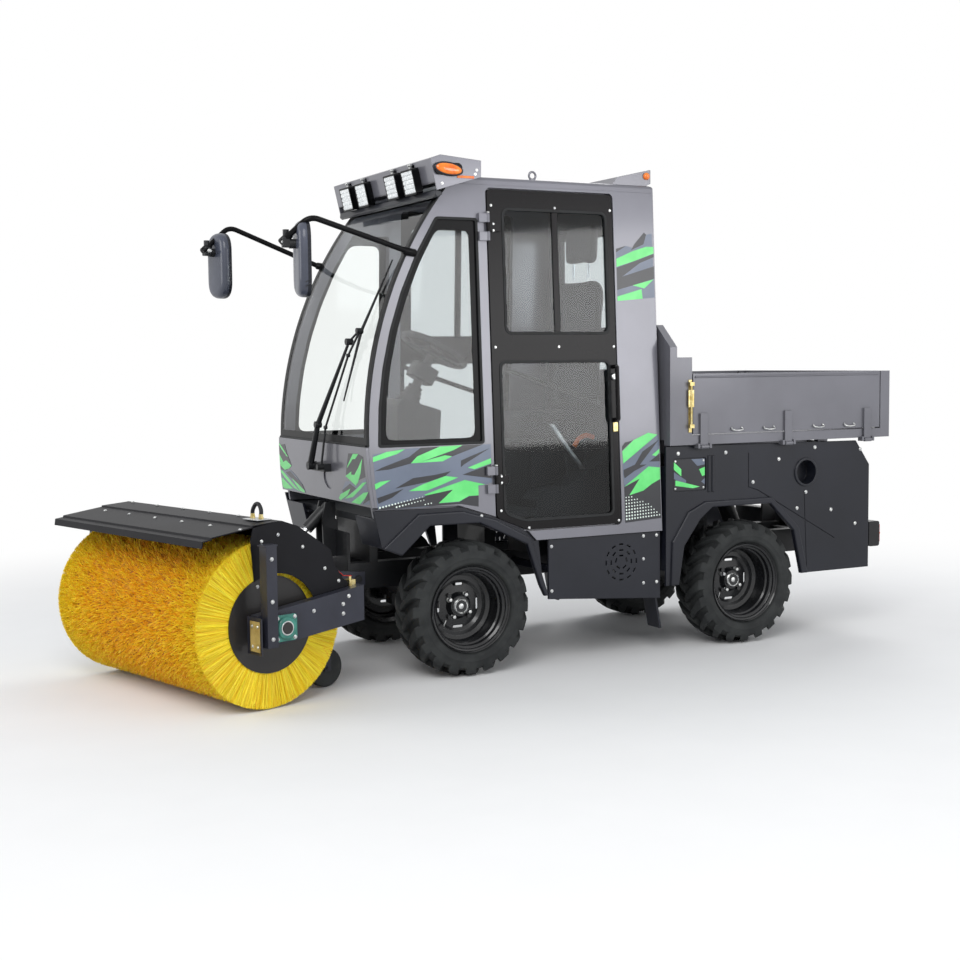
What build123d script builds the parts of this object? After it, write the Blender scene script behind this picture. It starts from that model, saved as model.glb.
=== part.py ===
from build123d import *
import math
import os

# Compact road sweeper: a cab-forward utility vehicle with a tipping drop-side bed and a front cylinder brush.
# Millimetres. X points forward, Y to the vehicle's left, Z up. Every place below is measured from the ground
# under the front axle's centre; the last step moves the origin to the middle of the whole machine's outline,
# brush and mirrors included.

# Wheels and axles
WHEELBASE = 1524.0
TYRE_R = 305.0
TYRE_WIDTH = 216.0
WHEEL_OUT = 563.0                        # outer face of the tyres, each side
WHEEL_MID = WHEEL_OUT - TYRE_WIDTH / 2
RIM_R = 195.0                            # rim flange
RIM_WIDTH = TYRE_WIDTH - 26
HUB_FACE = WHEEL_OUT - 158               # where the rim's disc meets the hub, each side
KINGPIN_Y = HUB_FACE - 70
SPINDLE_R = 30.0
RUNNING_FIT = 0.06                       # radial clearance of shafts and pins
MOVING_GAP = 6.0                         # clearance between pieces that move past each other
SEAM = 0.4                               # clearance between fixed panels

# Cab
CAB_REAR = -1015.0
SILL_Z = 596.0
ROOF_Z = 2222.0
SILL_Y = 567.0                           # half width at the sill
ROOF_Y = 487.0                           # half width at the roof
SKIN = 30.0                              # outer layer of a cab side, as deep as the door frame's recess
INNER = 20.0                             # inner layer, which the door closes on
ROOF_T = 34.0
SILL_TOP = SILL_Z + 44
DOOR_FRONT = -122.0
DOOR_REAR = CAB_REAR + 225
DOOR_TOP = ROOF_Z - 46
DOOR_CUT_X = -284.0                      # where the door's cut lower front corner starts
DOOR_CUT_Z = 706.0
DOOR_T = 25.0
WAIST_Z = 1048.0                         # bottom of the windscreen and fixed windows
PANEL_BOTTOM = 787.0                     # bottom of the front panel
PANEL_T = 14.0
FRONT_LOW = (463.0, PANEL_BOTTOM)        # three points of the cab's curved front edge, as x and z
FRONT_MID = (431.0, 1461.0)
FRONT_TOP = (50.0, ROOF_Z - 26)
PILLAR = 50.0                            # width of the windscreen pillars, seen from the side
GLASS_T = 5.0
FLOOR_T = 30.0
FLOOR_Z = SILL_Z + 4                     # underside of the cab's floor
TOE_FLOOR_Z = 700.0                      # underside of its raised front, over the axle

WALL_T = 28.0                            # rear wall
HINGE_HEIGHTS = (880.0, DOOR_TOP - 176)
HINGE_OUT = 13.0                         # the door hinges' axis stands off the side
HINGE_X = DOOR_FRONT - MOVING_GAP / 2
HINGE_R = 8.0
HINGE_PIN_R = 4.5
VISOR_HALF = ROOF_Y + 67
VISOR_FACE = ((177.0, ROOF_Z + 58), (146.0, ROOF_Z - 76))     # the visor's front: top and bottom, as x and z
LAMP_PLACES = (-360.0, -170.0, 170.0, 360.0)
LAMP_SIZE = (30.0, 124.0, 112.0)
MIRROR_Y = 580.0
MIRROR_SIZE = (48.0, 170.0, 310.0)
MIRROR_TOE = 10.0                        # how far each head is turned to the driver, in degrees

# Inside the cab
SEAT_Z = 1035.0                          # top of the seat's box
CUSHION_T = 110.0
SEAT_TOP = SEAT_Z + CUSHION_T
BACK_HEIGHT = 680.0
HEADREST_UP = 835.0                      # middle of the headrest above the cushion
WHEEL_CENTRE = Vector(-96, 0, 1464)
COLUMN_FOOT = Vector(50, 0, 1210)
STEERING_R = 158.0
COLUMN_R = 22.0

# Load bed
BED_FRONT = CAB_REAR - 22
BED_REAR = -2400.0
BED_Y = 600.0
BED_RAIL_Z = 1000.0
BED_DECK_Z = BED_RAIL_Z + 45
GATE_TOP = BED_DECK_Z + 293
GATE_T = 25.0
POST_LENGTH = 126.0
REAR_POST_LENGTH = 60.0
POST_TOP = GATE_TOP + 78
BED_PIN_X = BED_REAR + 100
BED_PIN_Z = BED_RAIL_Z - 50
BED_PIN_R = 14.0
BED_RUNNER_Z = BED_PIN_Z - 20            # the bed's runners rest here
HOIST_FOOT_X = BED_REAR + 500
HOIST_FOOT_Z = 440.0
HOIST_EYE_X = BED_REAR + 750
HOIST_EYE_Z = BED_RAIL_Z - 15
HOIST_PIN_R = 14.0
HOIST_STROKE = 398.0                     # rod travel at the full tipping angle
GATE_PIN_Y = BED_Y + 12                  # the drop sides' hinge line
GATE_PIN_Z = BED_RAIL_Z - 10
TAIL_PIN_X = BED_REAR - 14               # the tailgate's hinge line
TAIL_PIN_Z = BED_DECK_Z - 21
TAIL_HINGES = (-0.6 * BED_Y, 0.6 * BED_Y)
GATE_PIN_R = 5.0

# Chassis
RAIL_Y = 160.0                           # middle of each frame rail
RAIL_W = 60.0
RAIL_OUT = RAIL_Y + RAIL_W / 2
RAIL_H = 120.0
RAIL_TOP = TYRE_R + 195
RAIL_FRONT = 430.0
RAIL_REAR = BED_REAR + 110
ENGINE_Y = 125.0
BUMPER_Y = 560.0
JAW_BORE_R = 11.0                        # the towing jaw's pin hole
JAW_X = BED_REAR - 12
JAW_Z = 505.0
JAW_HEIGHT = 94.0

# Brush unit, measured in its own frame: u forward, s to the left, turned about the swivel pin
BRUSH_YAW = 15.0                         # as it stands, from straight ahead, in degrees
SWIVEL_X = 694.0
SWIVEL_Z = 430.0
SWIVEL_R = 25.0
SWIVEL_TO_BRUSH = 460.0
BRUSH_R = 350.0
BRUSH_Z = BRUSH_R + 2
BRUSH_HALF = 583.0
DISC_R = 200.0
CORE_R = 130.0
SHAFT_R = 24.0
BEAM_S = BRUSH_HALF + 72                 # middle of each end beam
BEAM_W = 46.0
BEAM_FRONT = 125.0
REAR_BEAM_U = -BRUSH_R - 10
REAR_BEAM_TOP = 470.0
HOOD_TOP = BRUSH_Z + 423
HOOD_FRONT = 330.0
LEG_U = (58.0, 108.0)                    # the parking legs, on the end beams' outer faces
LEG_OUT = 48.0
LIFT_PIN_X = 400.0
LIFT_PIN_Z = SWIVEL_Z
LIFT_PIN_R = 16.0
LIFT_TOP_X = 465.0                       # the lift cylinder's pin on the chassis
LIFT_TOP_Z = 745.0
LIFT_EYE_X = 618.0                       # its rod's eye on the lift arm
LIFT_EYE_Z = 600.0
LIFT_CYLINDER_PIN_R = 10.0
LIFT_STROKE = -46.0                      # the rod goes in as the brush comes up
ARM_Y = RAIL_OUT + MOVING_GAP            # inner face of the lift arm's side plates
GAUGE_R = 85.0
GAUGE_Z = GAUGE_R + 2
GAUGE_U = REAR_BEAM_U - 40
GAUGE_S = BRUSH_HALF - 183
GAUGE_AXLE_R = 8.0

BRUSH_X = SWIVEL_X + SWIVEL_TO_BRUSH * math.cos(math.radians(BRUSH_YAW))
BRUSH_Y = SWIVEL_TO_BRUSH * math.sin(math.radians(BRUSH_YAW))
FRONT_END = (BRUSH_X + HOOD_FRONT * math.cos(math.radians(BRUSH_YAW))
             + (BRUSH_HALF + 90) * math.sin(math.radians(BRUSH_YAW)))
LEFT_END = (BRUSH_Y + (BEAM_S + BEAM_W / 2 + LEG_OUT) * math.cos(math.radians(BRUSH_YAW))
            + LEG_U[1] * math.sin(math.radians(BRUSH_YAW)))
RIGHT_END = -MIRROR_Y - MIRROR_SIZE[1] / 2
FRONT_AXLE_X = -(FRONT_END + BED_REAR) / 2
CENTRE_LINE_Y = -(LEFT_END + RIGHT_END) / 2


FROM_BASE = (Align.CENTER, Align.CENTER, Align.MIN)


def block(x0, x1, y0, y1, z0, z1):
    """A box from its limits."""
    return Pos((x0 + x1) / 2, (y0 + y1) / 2, (z0 + z1) / 2) * Box(abs(x1 - x0), abs(y1 - y0), abs(z1 - z0))


def side_plate(points, y0, y1):
    """A plate whose outline is drawn in x and z, between two values of y."""
    plate = extrude(make_face(Polyline(*points, close=True)), abs(y1 - y0), dir=(0, 0, 1))
    return Plane((0, max(y0, y1), 0), x_dir=(1, 0, 0), z_dir=(0, -1, 0)) * plate


def floor_plate(points, z0, z1):
    """A plate whose outline is drawn in x and y, between two heights."""
    return Pos(0, 0, z0) * extrude(make_face(Polyline(*points, close=True)), z1 - z0, dir=(0, 0, 1))


def cross_plate(points, x0, x1):
    """A plate whose outline is drawn in y and z, between two values of x."""
    face = make_face(Polyline(*points, close=True))
    return Plane((x0, 0, 0), x_dir=(0, 1, 0), z_dir=(1, 0, 0)) * extrude(face, x1 - x0, dir=(0, 0, 1))


def bar(start, end, radius):
    """A round bar between two points."""
    run = Vector(*end) - Vector(*start)
    return Plane(start, z_dir=run) * Cylinder(radius, run.length, align=FROM_BASE)


def drum(radius, y0, y1, x=0.0, z=0.0):
    """A cylinder along Y."""
    return bar((x, min(y0, y1), z), (x, max(y0, y1), z), radius)


def other_side(shape):
    """The same piece on the vehicle's right."""
    return mirror(shape, about=Plane.XZ)


def one(shape):
    """The solid of a result that is one solid, or the compound of several."""
    solids = shape.solids()
    return solids[0] if len(solids) == 1 else Compound(list(solids))


LEAN = math.atan((SILL_Y - ROOF_Y) / (ROOF_Z - SILL_Z))
SIDE_UP = Vector(0, -math.sin(LEAN), math.cos(LEAN))
SIDE_IN = Vector(0, -math.cos(LEAN), -math.sin(LEAN))


def lean_point(x, z, depth):
    """A point on the cab's left side, so deep below its outer surface."""
    up = (z - SILL_Z) / math.cos(LEAN)
    return Vector(x, SILL_Y, SILL_Z) + SIDE_UP * up + SIDE_IN * depth


def lean_sheet(outline, depth, thickness):
    """A sheet in the leaning side; its outline is a face drawn in x and height above the sill."""
    plane = Plane(lean_point(0, SILL_Z, depth), x_dir=(1, 0, 0), z_dir=SIDE_IN)
    return plane * extrude(outline, thickness, dir=(0, 0, 1))


def on_slope(x, z):
    return x, (z - SILL_Z) / math.cos(LEAN)


def lean_outline(points, radius=0.0):
    """A face from points in x and z, with its corners rounded."""
    face = make_face(Polyline(*[on_slope(x, z) for x, z in points], close=True))
    return fillet(face.vertices(), radius) if radius else face


def front_circle():
    """Centre and radius of the circle through the three points of the cab's front edge."""
    (ax, az), (bx, bz), (cx, cz) = FRONT_LOW, FRONT_MID, FRONT_TOP
    d = 2 * (ax * (bz - cz) + bx * (cz - az) + cx * (az - bz))
    a2, b2, c2 = ax * ax + az * az, bx * bx + bz * bz, cx * cx + cz * cz
    x = (a2 * (bz - cz) + b2 * (cz - az) + c2 * (az - bz)) / d
    z = (a2 * (cx - bx) + b2 * (ax - cx) + c2 * (bx - ax)) / d
    return x, z, math.hypot(ax - x, az - z)


FRONT_CX, FRONT_CZ, FRONT_R = front_circle()


def front_x(z, out=0.0):
    """How far forward the cab's front reaches at a height."""
    return FRONT_CX + math.sqrt((FRONT_R + out) ** 2 - (z - FRONT_CZ) ** 2)


def front_drum(out):
    """The big cylinder whose surface is the cab's front."""
    return drum(FRONT_R + out, -700, 700, FRONT_CX, FRONT_CZ)


def side_y(z, depth):
    """Half the cab's width at a height, so deep inside the sides' outer surfaces."""
    return SILL_Y - (z - SILL_Z) * math.tan(LEAN) - depth / math.cos(LEAN)


def between_sides(x0, x1, z0, z1, depth):
    """The space between the cab's leaning sides, so deep inside their outer surfaces."""
    low, high = side_y(z0, depth), side_y(z1, depth)
    return cross_plate([(-low, z0), (low, z0), (high, z1), (-high, z1)], x0, x1)


def side_window():
    """The fixed window's outline: its front edge runs beside the windscreen pillar."""
    rear, top = -72, ROOF_Z - 188
    heights = [top - (top - WAIST_Z) * k / 6 for k in range(7)]
    points = [(rear, top)] + [(front_x(z) - PILLAR, z) for z in heights] + [(rear, WAIST_Z)]
    return lean_outline(points, 14)


def cab_sides():
    """Each side: an outer skin, and an inner frame that the door closes on."""
    door = [(DOOR_FRONT, DOOR_TOP), (DOOR_REAR, DOOR_TOP), (DOOR_REAR, SILL_TOP), (DOOR_CUT_X, SILL_TOP),
            (DOOR_FRONT, DOOR_CUT_Z)]
    top = ROOF_Z - ROOF_T
    front_edge = front_drum(-SEAM)
    ahead = FRONT_CX + FRONT_R + 20
    skin_edge = [(CAB_REAR, top), (ahead, top), (ahead, PANEL_BOTTOM), (60, 775),
                 (DOOR_FRONT - 4, DOOR_CUT_Z + 8), (DOOR_CUT_X - 2, SILL_TOP + 2), (-328, SILL_Z),
                 (CAB_REAR, SILL_Z)]
    skin = lean_sheet(lean_outline(skin_edge), 0, SKIN)
    frame_edge = [(CAB_REAR, top), (ahead, top), (ahead, 740), (20, 730), (DOOR_FRONT, 655),
                  (DOOR_CUT_X, FLOOR_Z), (CAB_REAR, FLOOR_Z)]
    frame = lean_sheet(lean_outline(frame_edge), SKIN, INNER)
    side = (skin + frame) & front_edge
    side -= lean_sheet(lean_outline(door, 24), -5, SKIN + 5)
    stop = 14.0
    inner_door = [(DOOR_FRONT - stop, DOOR_TOP - stop), (DOOR_REAR + stop, DOOR_TOP - stop),
                  (DOOR_REAR + stop, SILL_TOP + stop), (DOOR_CUT_X - 4, SILL_TOP + stop),
                  (DOOR_FRONT - stop, DOOR_CUT_Z + stop)]
    side -= lean_sheet(lean_outline(inner_door, 24), -5, SKIN + INNER + 10)
    side -= lean_sheet(side_window(), -5, SKIN + INNER + 10)
    for z in HINGE_HEIGHTS:
        side += hinge_leaf(z, "pillar")
    return one(side), one(other_side(side))


def hinge_stack(z, first, last, radius):
    """A stretch of a door hinge's barrel, along the leaning axis."""
    low = lean_point(HINGE_X, z + first, -HINGE_OUT)
    high = lean_point(HINGE_X, z + last, -HINGE_OUT)
    return bar(tuple(low), tuple(high), radius)


def hinge_leaf(z, owner):
    """One half of a door hinge: the pillar carries the outer barrels and the pin, the door the middle one."""
    def plate(x0, x1, first, last, out, depth):
        corners = [(x0, z + first), (x0, z + last), (x1, z + last), (x1, z + first)]
        return lean_sheet(lean_outline(corners), -out, depth)
    half, middle = 60, 19
    if owner == "pillar":
        leaf = hinge_stack(z, -half, half, HINGE_PIN_R)
        for first, last in ((-half, -middle - 2), (middle + 2, half)):
            leaf += plate(HINGE_X, HINGE_X + 46, first, last, HINGE_OUT + 3, HINGE_OUT + 6)
            leaf += hinge_stack(z, first, last, HINGE_R)
        return leaf
    leaf = plate(HINGE_X, HINGE_X - 60, -middle, middle, HINGE_OUT + 3, 6)
    leaf += plate(HINGE_X - 24, HINGE_X - 60, -middle, middle, HINGE_OUT, HINGE_OUT + 6)
    leaf += hinge_stack(z, -middle, middle, HINGE_R)
    return leaf - hinge_stack(z, -half, half, HINGE_PIN_R + RUNNING_FIT)


def doors():
    """Each door: a black frame with an upper and a lower light, its grab handle, and the panes."""
    g = MOVING_GAP
    outline = [(DOOR_FRONT - g, DOOR_TOP - g), (DOOR_REAR + g, DOOR_TOP - g), (DOOR_REAR + g, SILL_TOP + g),
               (DOOR_CUT_X - 1, SILL_TOP + g), (DOOR_FRONT - g, DOOR_CUT_Z + g)]
    front, rear = DOOR_FRONT - 83, DOOR_REAR + 42
    top, bottom = DOOR_TOP - 91, 1532
    low_front, low_rear, low_top, low_bottom = DOOR_FRONT - 48, DOOR_REAR + 45, bottom - 128, SILL_TOP + 50
    bar_x, bar_half = (front + rear) / 2, 15
    upper = [(front, top), (rear, top), (rear, bottom), (front, bottom)]
    lower = [(low_front, low_top), (low_rear, low_top), (low_rear, low_bottom), (DOOR_CUT_X + 16, low_bottom),
             (low_front, DOOR_CUT_Z + 22)]
    frame = lean_sheet(lean_outline(outline, 22), 0, DOOR_T)
    frame -= lean_sheet(lean_outline(upper, 34), -5, DOOR_T + 10)
    frame -= lean_sheet(lean_outline(lower, 30), -5, DOOR_T + 10)
    frame += lean_sheet(lean_outline([(bar_x + bar_half, top + 5), (bar_x - bar_half, top + 5),
                                      (bar_x - bar_half, bottom - 5), (bar_x + bar_half, bottom - 5)]), 4, 14)
    brace = lean_sheet(lean_outline([(low_front + 5, 1396), (low_front + 5, 1372), (rear + 48, 1198),
                                     (rear + 48, 1222)]), DOOR_T - 8, 8)
    frame += brace & lean_sheet(lean_outline(outline), 0, DOOR_T)
    frame = one(frame)
    for z in HINGE_HEIGHTS:
        frame += hinge_leaf(z, "door")
    grip_x, grip_out, grip_low, grip_high = DOOR_REAR + 28, 38, 1130, 1376
    ends = [tuple(lean_point(grip_x, z, -grip_out)) for z in (grip_low, grip_high)]
    for z, end in zip((grip_low, grip_high), ends):
        frame += bar(tuple(lean_point(grip_x, z, 4)), end, 9)
    frame += bar(*ends, 10)
    panes = lean_sheet(offset(lean_outline(upper, 34), -SEAM), 9, GLASS_T)
    panes += lean_sheet(offset(lean_outline(lower, 30), -SEAM), 9, GLASS_T)
    clear = bar_half + SEAM
    band = [(bar_x + clear, top), (bar_x - clear, top), (bar_x - clear, bottom), (bar_x + clear, bottom)]
    glass = one(panes - lean_sheet(lean_outline(band), 0, DOOR_T))
    return one(frame), one(other_side(frame)), glass, one(other_side(glass))


def cab_roof():
    """The roof panel, rounded along its edges, with two raised beads and a lifting eye each side."""
    roof = between_sides(CAB_REAR, 520, ROOF_Z - ROOF_T, ROOF_Z, 0) & front_drum(-SEAM)
    top_edges = roof.faces().sort_by(Axis.Z)[-1].edges()
    roof = fillet(top_edges, 16)
    eye_x, eye_y, eye_r = -390, ROOF_Y - 45, 17
    for side in (1, -1):
        bead = block(CAB_REAR + 270, -130, side * 150, side * 190, ROOF_Z - 5, ROOF_Z + 8)
        roof += chamfer(bead.faces().sort_by(Axis.Z)[-1].edges(), 6)
        roof += Pos(eye_x, side * eye_y, ROOF_Z) * Cylinder(15, 16)
        roof += Pos(eye_x, side * eye_y, ROOF_Z + eye_r + 6) * Rot(90, 0, 0) * Torus(eye_r, 5)
    return one(roof)


def rear_window(inset):
    """The rear window's opening, or with an inset its pane's outline, through the wall."""
    half, low, high = 320 - inset, 1300 + inset, ROOF_Z - 202 - inset
    return block(CAB_REAR - 5, CAB_REAR + WALL_T + 5, -half, half, low, high)


def cab_rear_wall():
    """The rear wall, with its window cut."""
    wall = between_sides(CAB_REAR, CAB_REAR + WALL_T, FLOOR_Z, ROOF_Z - ROOF_T, SKIN + INNER)
    return one(wall - rear_window(0))


def cab_floor():
    """The floor, with its raised front over the axle."""
    inside = SKIN + INNER
    step = -345
    low = between_sides(CAB_REAR + WALL_T, step, FLOOR_Z, FLOOR_Z + FLOOR_T, inside)
    riser = between_sides(step - FLOOR_T, step, FLOOR_Z, TOE_FLOOR_Z + FLOOR_T, inside)
    toe = between_sides(step - FLOOR_T, front_x(760, -40), TOE_FLOOR_Z, TOE_FLOOR_Z + FLOOR_T, inside)
    return one(low + riser + toe)


def front_panel():
    """The panel below the windscreen: a sheet over the sides' front edges, with its body between them."""
    z0, z1 = PANEL_BOTTOM, WAIST_Z - 2
    ahead = FRONT_CX + FRONT_R + 20
    sheet = (front_drum(PANEL_T) - front_drum(0)) & between_sides(300, ahead, z0, z1, 0)
    body = (front_drum(SEAM) - front_drum(-16)) & between_sides(300, ahead, z0, z1, SKIN + INNER + SEAM)
    recess_y, recess_z, recess_depth = 94, 887, 5
    oval = Plane((300, recess_y, recess_z), x_dir=(0, 1, 0), z_dir=(1, 0, 0)) * extrude(
        Ellipse(62, 50), 300, dir=(0, 0, 1))
    return one((sheet - (oval - front_drum(PANEL_T - recess_depth))) + body)


def windscreen():
    """The curved pane, as wide as the cab."""
    pane = front_drum(GLASS_T) - front_drum(0)
    return one(pane & between_sides(0, FRONT_CX + FRONT_R + 20, WAIST_Z, ROOF_Z - ROOF_T - 20, 6))


def cab_windows():
    """The fixed front side windows and the rear window."""
    left = lean_sheet(offset(side_window(), -SEAM), 9, GLASS_T)
    rear = rear_window(SEAM) & block(CAB_REAR + 10, CAB_REAR + 10 + GLASS_T, -600, 600, 1000, ROOF_Z)
    return Compound([one(left), one(other_side(left)), one(rear)])


def light_bar():
    """The visor over the windscreen, a folded shell that wraps the roof's front and its ends."""
    wall = 5.0
    ridge, rear_top, rear_low = (129, ROOF_Z + 76), (-70, ROOF_Z + 60), (-69, ROOF_Z - 11)
    outer = side_plate([VISOR_FACE[0], ridge, rear_top, rear_low, VISOR_FACE[1]], -VISOR_HALF, VISOR_HALF)
    hollow = [(170, ridge[1] - 24), (129, ridge[1] - wall), (-65, rear_top[1] - wall), (-64, ROOF_Z - 82),
              (138, ROOF_Z - 132)]
    inner = side_plate(hollow, -VISOR_HALF + wall, VISOR_HALF - wall)
    shell = outer - inner
    cab = between_sides(CAB_REAR, FRONT_CX + FRONT_R + 20, ROOF_Z - 222, ROOF_Z + 1, -1)
    shell -= cab & front_drum(GLASS_T + 1)
    for y in (-380, 0, 380):
        shell += block(-66, -20, y - 15, y + 15, ROOF_Z, ROOF_Z + 58)
    for y in LAMP_PLACES:
        shell -= block(150, 185, y - 26, y + 26, ROOF_Z + 34, ROOF_Z + 50)
    return one(shell)


def work_lamps():
    """Four square lamps on the visor's front and an amber lamp on each end."""
    (x_top, z_top), (x_low, z_low) = VISOR_FACE
    tilt = math.degrees(math.atan2(x_top - x_low, z_top - z_low))
    depth, width, height = LAMP_SIZE
    solids = []
    for y in LAMP_PLACES:
        lamp = fillet(Box(depth, width, height).edges().filter_by(Axis.X), 10)
        face = Pos((x_top + x_low) / 2, y, (z_top + z_low) / 2) * Rot(0, tilt, 0)
        solids.append(one(face * Pos(depth / 2 + SEAM, 0, -10) * lamp))
    for side in (1, -1):
        amber = block(28, 158, side * VISOR_HALF, side * (VISOR_HALF + 12), ROOF_Z - 10, ROOF_Z + 42)
        solids.append(one(fillet(amber.edges().filter_by(Axis.Y), 20)))
    return Compound(solids)


def rear_visor():
    """The raised visor over the roof's rear, with a lamp at each end."""
    rear = CAB_REAR - 3
    outline = [(rear + 217, ROOF_Z), (rear + 188, ROOF_Z + 36), (rear, ROOF_Z + 78), (rear, ROOF_Z + 14),
               (rear + 28, ROOF_Z)]
    visor = side_plate(outline, 17 - ROOF_Y, ROOF_Y - 17)
    return one(fillet(visor.faces().sort_by(Axis.X)[0].edges(), 6))


def arch_lip(ridge, edge, inner, outer):
    """The raised lip round a wheel arch, rounded along its ridge and along the arch's edge."""
    lip = side_plate(ridge + list(reversed(edge)), inner, outer)
    return fillet(lip.faces().sort_by(Axis.Y)[-1].edges(), 7)


def front_fender():
    """A moulded fender: a skin with a raised lip round the arch, a front wall and a turned-in top."""
    skin_out, lip_out, skin_t = SILL_Y - 14, SILL_Y - 1, 12
    edge = [(340, 571), (204, 693), (-42, 692), (-281, 581), (-347, 388), (-373, 336)]
    ridge = [(430, 606), (256, 749), (42, 750), (-120, 703), (-300, 610), (-392, 336)]
    outline = [(469, 772), (47, 766), (DOOR_FRONT - 6, DOOR_CUT_Z - 1), (DOOR_CUT_X - 2, SILL_TOP - 5),
               (-326, SILL_Z - 3), (-345, SILL_Z - 3)] + edge[::-1] + [ridge[0]]
    skin = side_plate(outline, skin_out - skin_t, skin_out)
    top = block(40, 440, 300, skin_out - skin_t, TOE_FLOOR_Z - 6, TOE_FLOOR_Z - SEAM)
    front = side_plate([(460, 734), (430, 606), (418, 609), (448, 734)], 330, skin_out - skin_t)
    return one(skin + arch_lip(ridge, edge, skin_out - 4, lip_out) + top + front)


def side_skirts():
    """The lower side covers between the wheels, each with rings of slots as its vent."""
    front, rear, top, low_rear, low_front = -396, CAB_REAR + 5, SILL_Z - 4, 272, 318
    vent_x, vent_z, slot_w, slot_h = -791, 461, 22, 7
    inner, outer = SILL_Y - 24, SILL_Y - 12
    left = side_plate([(rear, top), (front, top), (front, low_front), (rear, low_rear)], inner, outer)
    for ring_r, slots in ((30, 5), (56, 8), (84, 12)):
        for k in range(slots):
            turn = 360 / slots * k
            slot = Rot(0, turn, 0) * block(-slot_w / 2, slot_w / 2, inner - 5, outer + 5, ring_r - slot_h / 2,
                                           ring_r + slot_h / 2)
            left -= Pos(vent_x, 0, vent_z) * slot
    for x in (rear + 4, front - 32):
        left += block(x, x + 26, RAIL_OUT, inner, 440, 470)
    left = one(left)
    return Compound([left, one(other_side(left))])


def strip(start, end, width, y0, y1):
    """A straight strip between two places in x and z."""
    run = Vector(*end) - Vector(*start)
    across = Vector(-run.Y, run.X).normalized() * (width / 2)
    corners = [Vector(*start) + across, Vector(*end) + across, Vector(*end) - across, Vector(*start) - across]
    return side_plate([(corner.X, corner.Y) for corner in corners], y0, y1)


def rear_bodies():
    """The moulded sides under the bed: arch lip, pocket, ribs, the filler's cup, seams and a mud guard."""
    out, lip_out, skin_t = BED_Y - 24, BED_Y - 12, 14
    front, axle, low, arch_top = CAB_REAR - 15, -WHEELBASE, 330, 694
    edge = [(axle + 424, low), (axle + 393, 516), (axle + 299, 640), (axle + 228, arch_top),
            (axle - 124, arch_top), (axle - 270, 551), (axle - 322, low)]
    ridge = [(axle + 470, low), (axle + 462, 540), (axle + 368, 680), (axle + 270, 724), (axle - 134, 724),
             (axle - 304, 566), (axle - 362, low)]
    outline = [(front, BED_RAIL_Z - 5), (front, low)] + edge
    outline += [(RAIL_REAR, low), (RAIL_REAR, BED_PIN_Z - 90), (BED_PIN_X + 60, BED_PIN_Z - 20),
                (BED_PIN_X + 100, BED_RAIL_Z - 15)]
    left = side_plate(outline, out - skin_t, out)
    left += arch_lip(ridge, edge, out - 4, lip_out)
    left += block(axle + 228, axle - 124, 300, out - skin_t, arch_top, arch_top + 6)
    left += block(front - 6, front, 300, out, 400, 900)
    left += block(front - 6, front, RAIL_OUT + SEAM, 310, 400, RAIL_TOP - 5)
    pocket_front, pocket_rear, pocket_low, pocket_high = front - 43, front - 235, 778, 936
    pocket = block(pocket_rear, pocket_front, out - 8, out + 5, pocket_low, pocket_high)
    left -= fillet(pocket.edges().filter_by(Axis.Y), 14)
    for x in (pocket_rear - 14, pocket_rear - 38):
        rib = block(x - 7, x + 7, out - 2, out + 6, pocket_low - 10, pocket_high + 8)
        left += fillet(rib.faces().sort_by(Axis.Y)[-1].edges(), 4)
    filler_x, filler_z, filler_r = -1874, 838, 62
    left -= drum(filler_r, out - 30, out + 30, filler_x, filler_z)
    cup = drum(filler_r + 10, out - 70, out + 8, filler_x, filler_z)
    cup = fillet(cup.faces().sort_by(Axis.Y)[-1].edges(), 4)
    left += cup - drum(filler_r - 2, out - 64, out + 20, filler_x, filler_z)
    left -= drum(filler_r - 2, out - 64, out + 20, filler_x, filler_z)
    lid_line = [(-1517, 947), (-1518, 780), (-1573, 763), (-2065, 493)]
    for start, end in zip(lid_line, lid_line[1:]):
        left -= strip(start, end, 4, out - 4, out + 5)
    left -= strip((-1866, 740), (-1884, 350), 4, out - 4, out + 5)
    guard = side_plate([(-950, 590), (-938, 590), (-1023, 120), (-1035, 120)], 430, 530)
    left += guard + block(front - 6, -946, 440, 470, 560, 585)
    left = one(left)
    return left, one(other_side(left))


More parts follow.
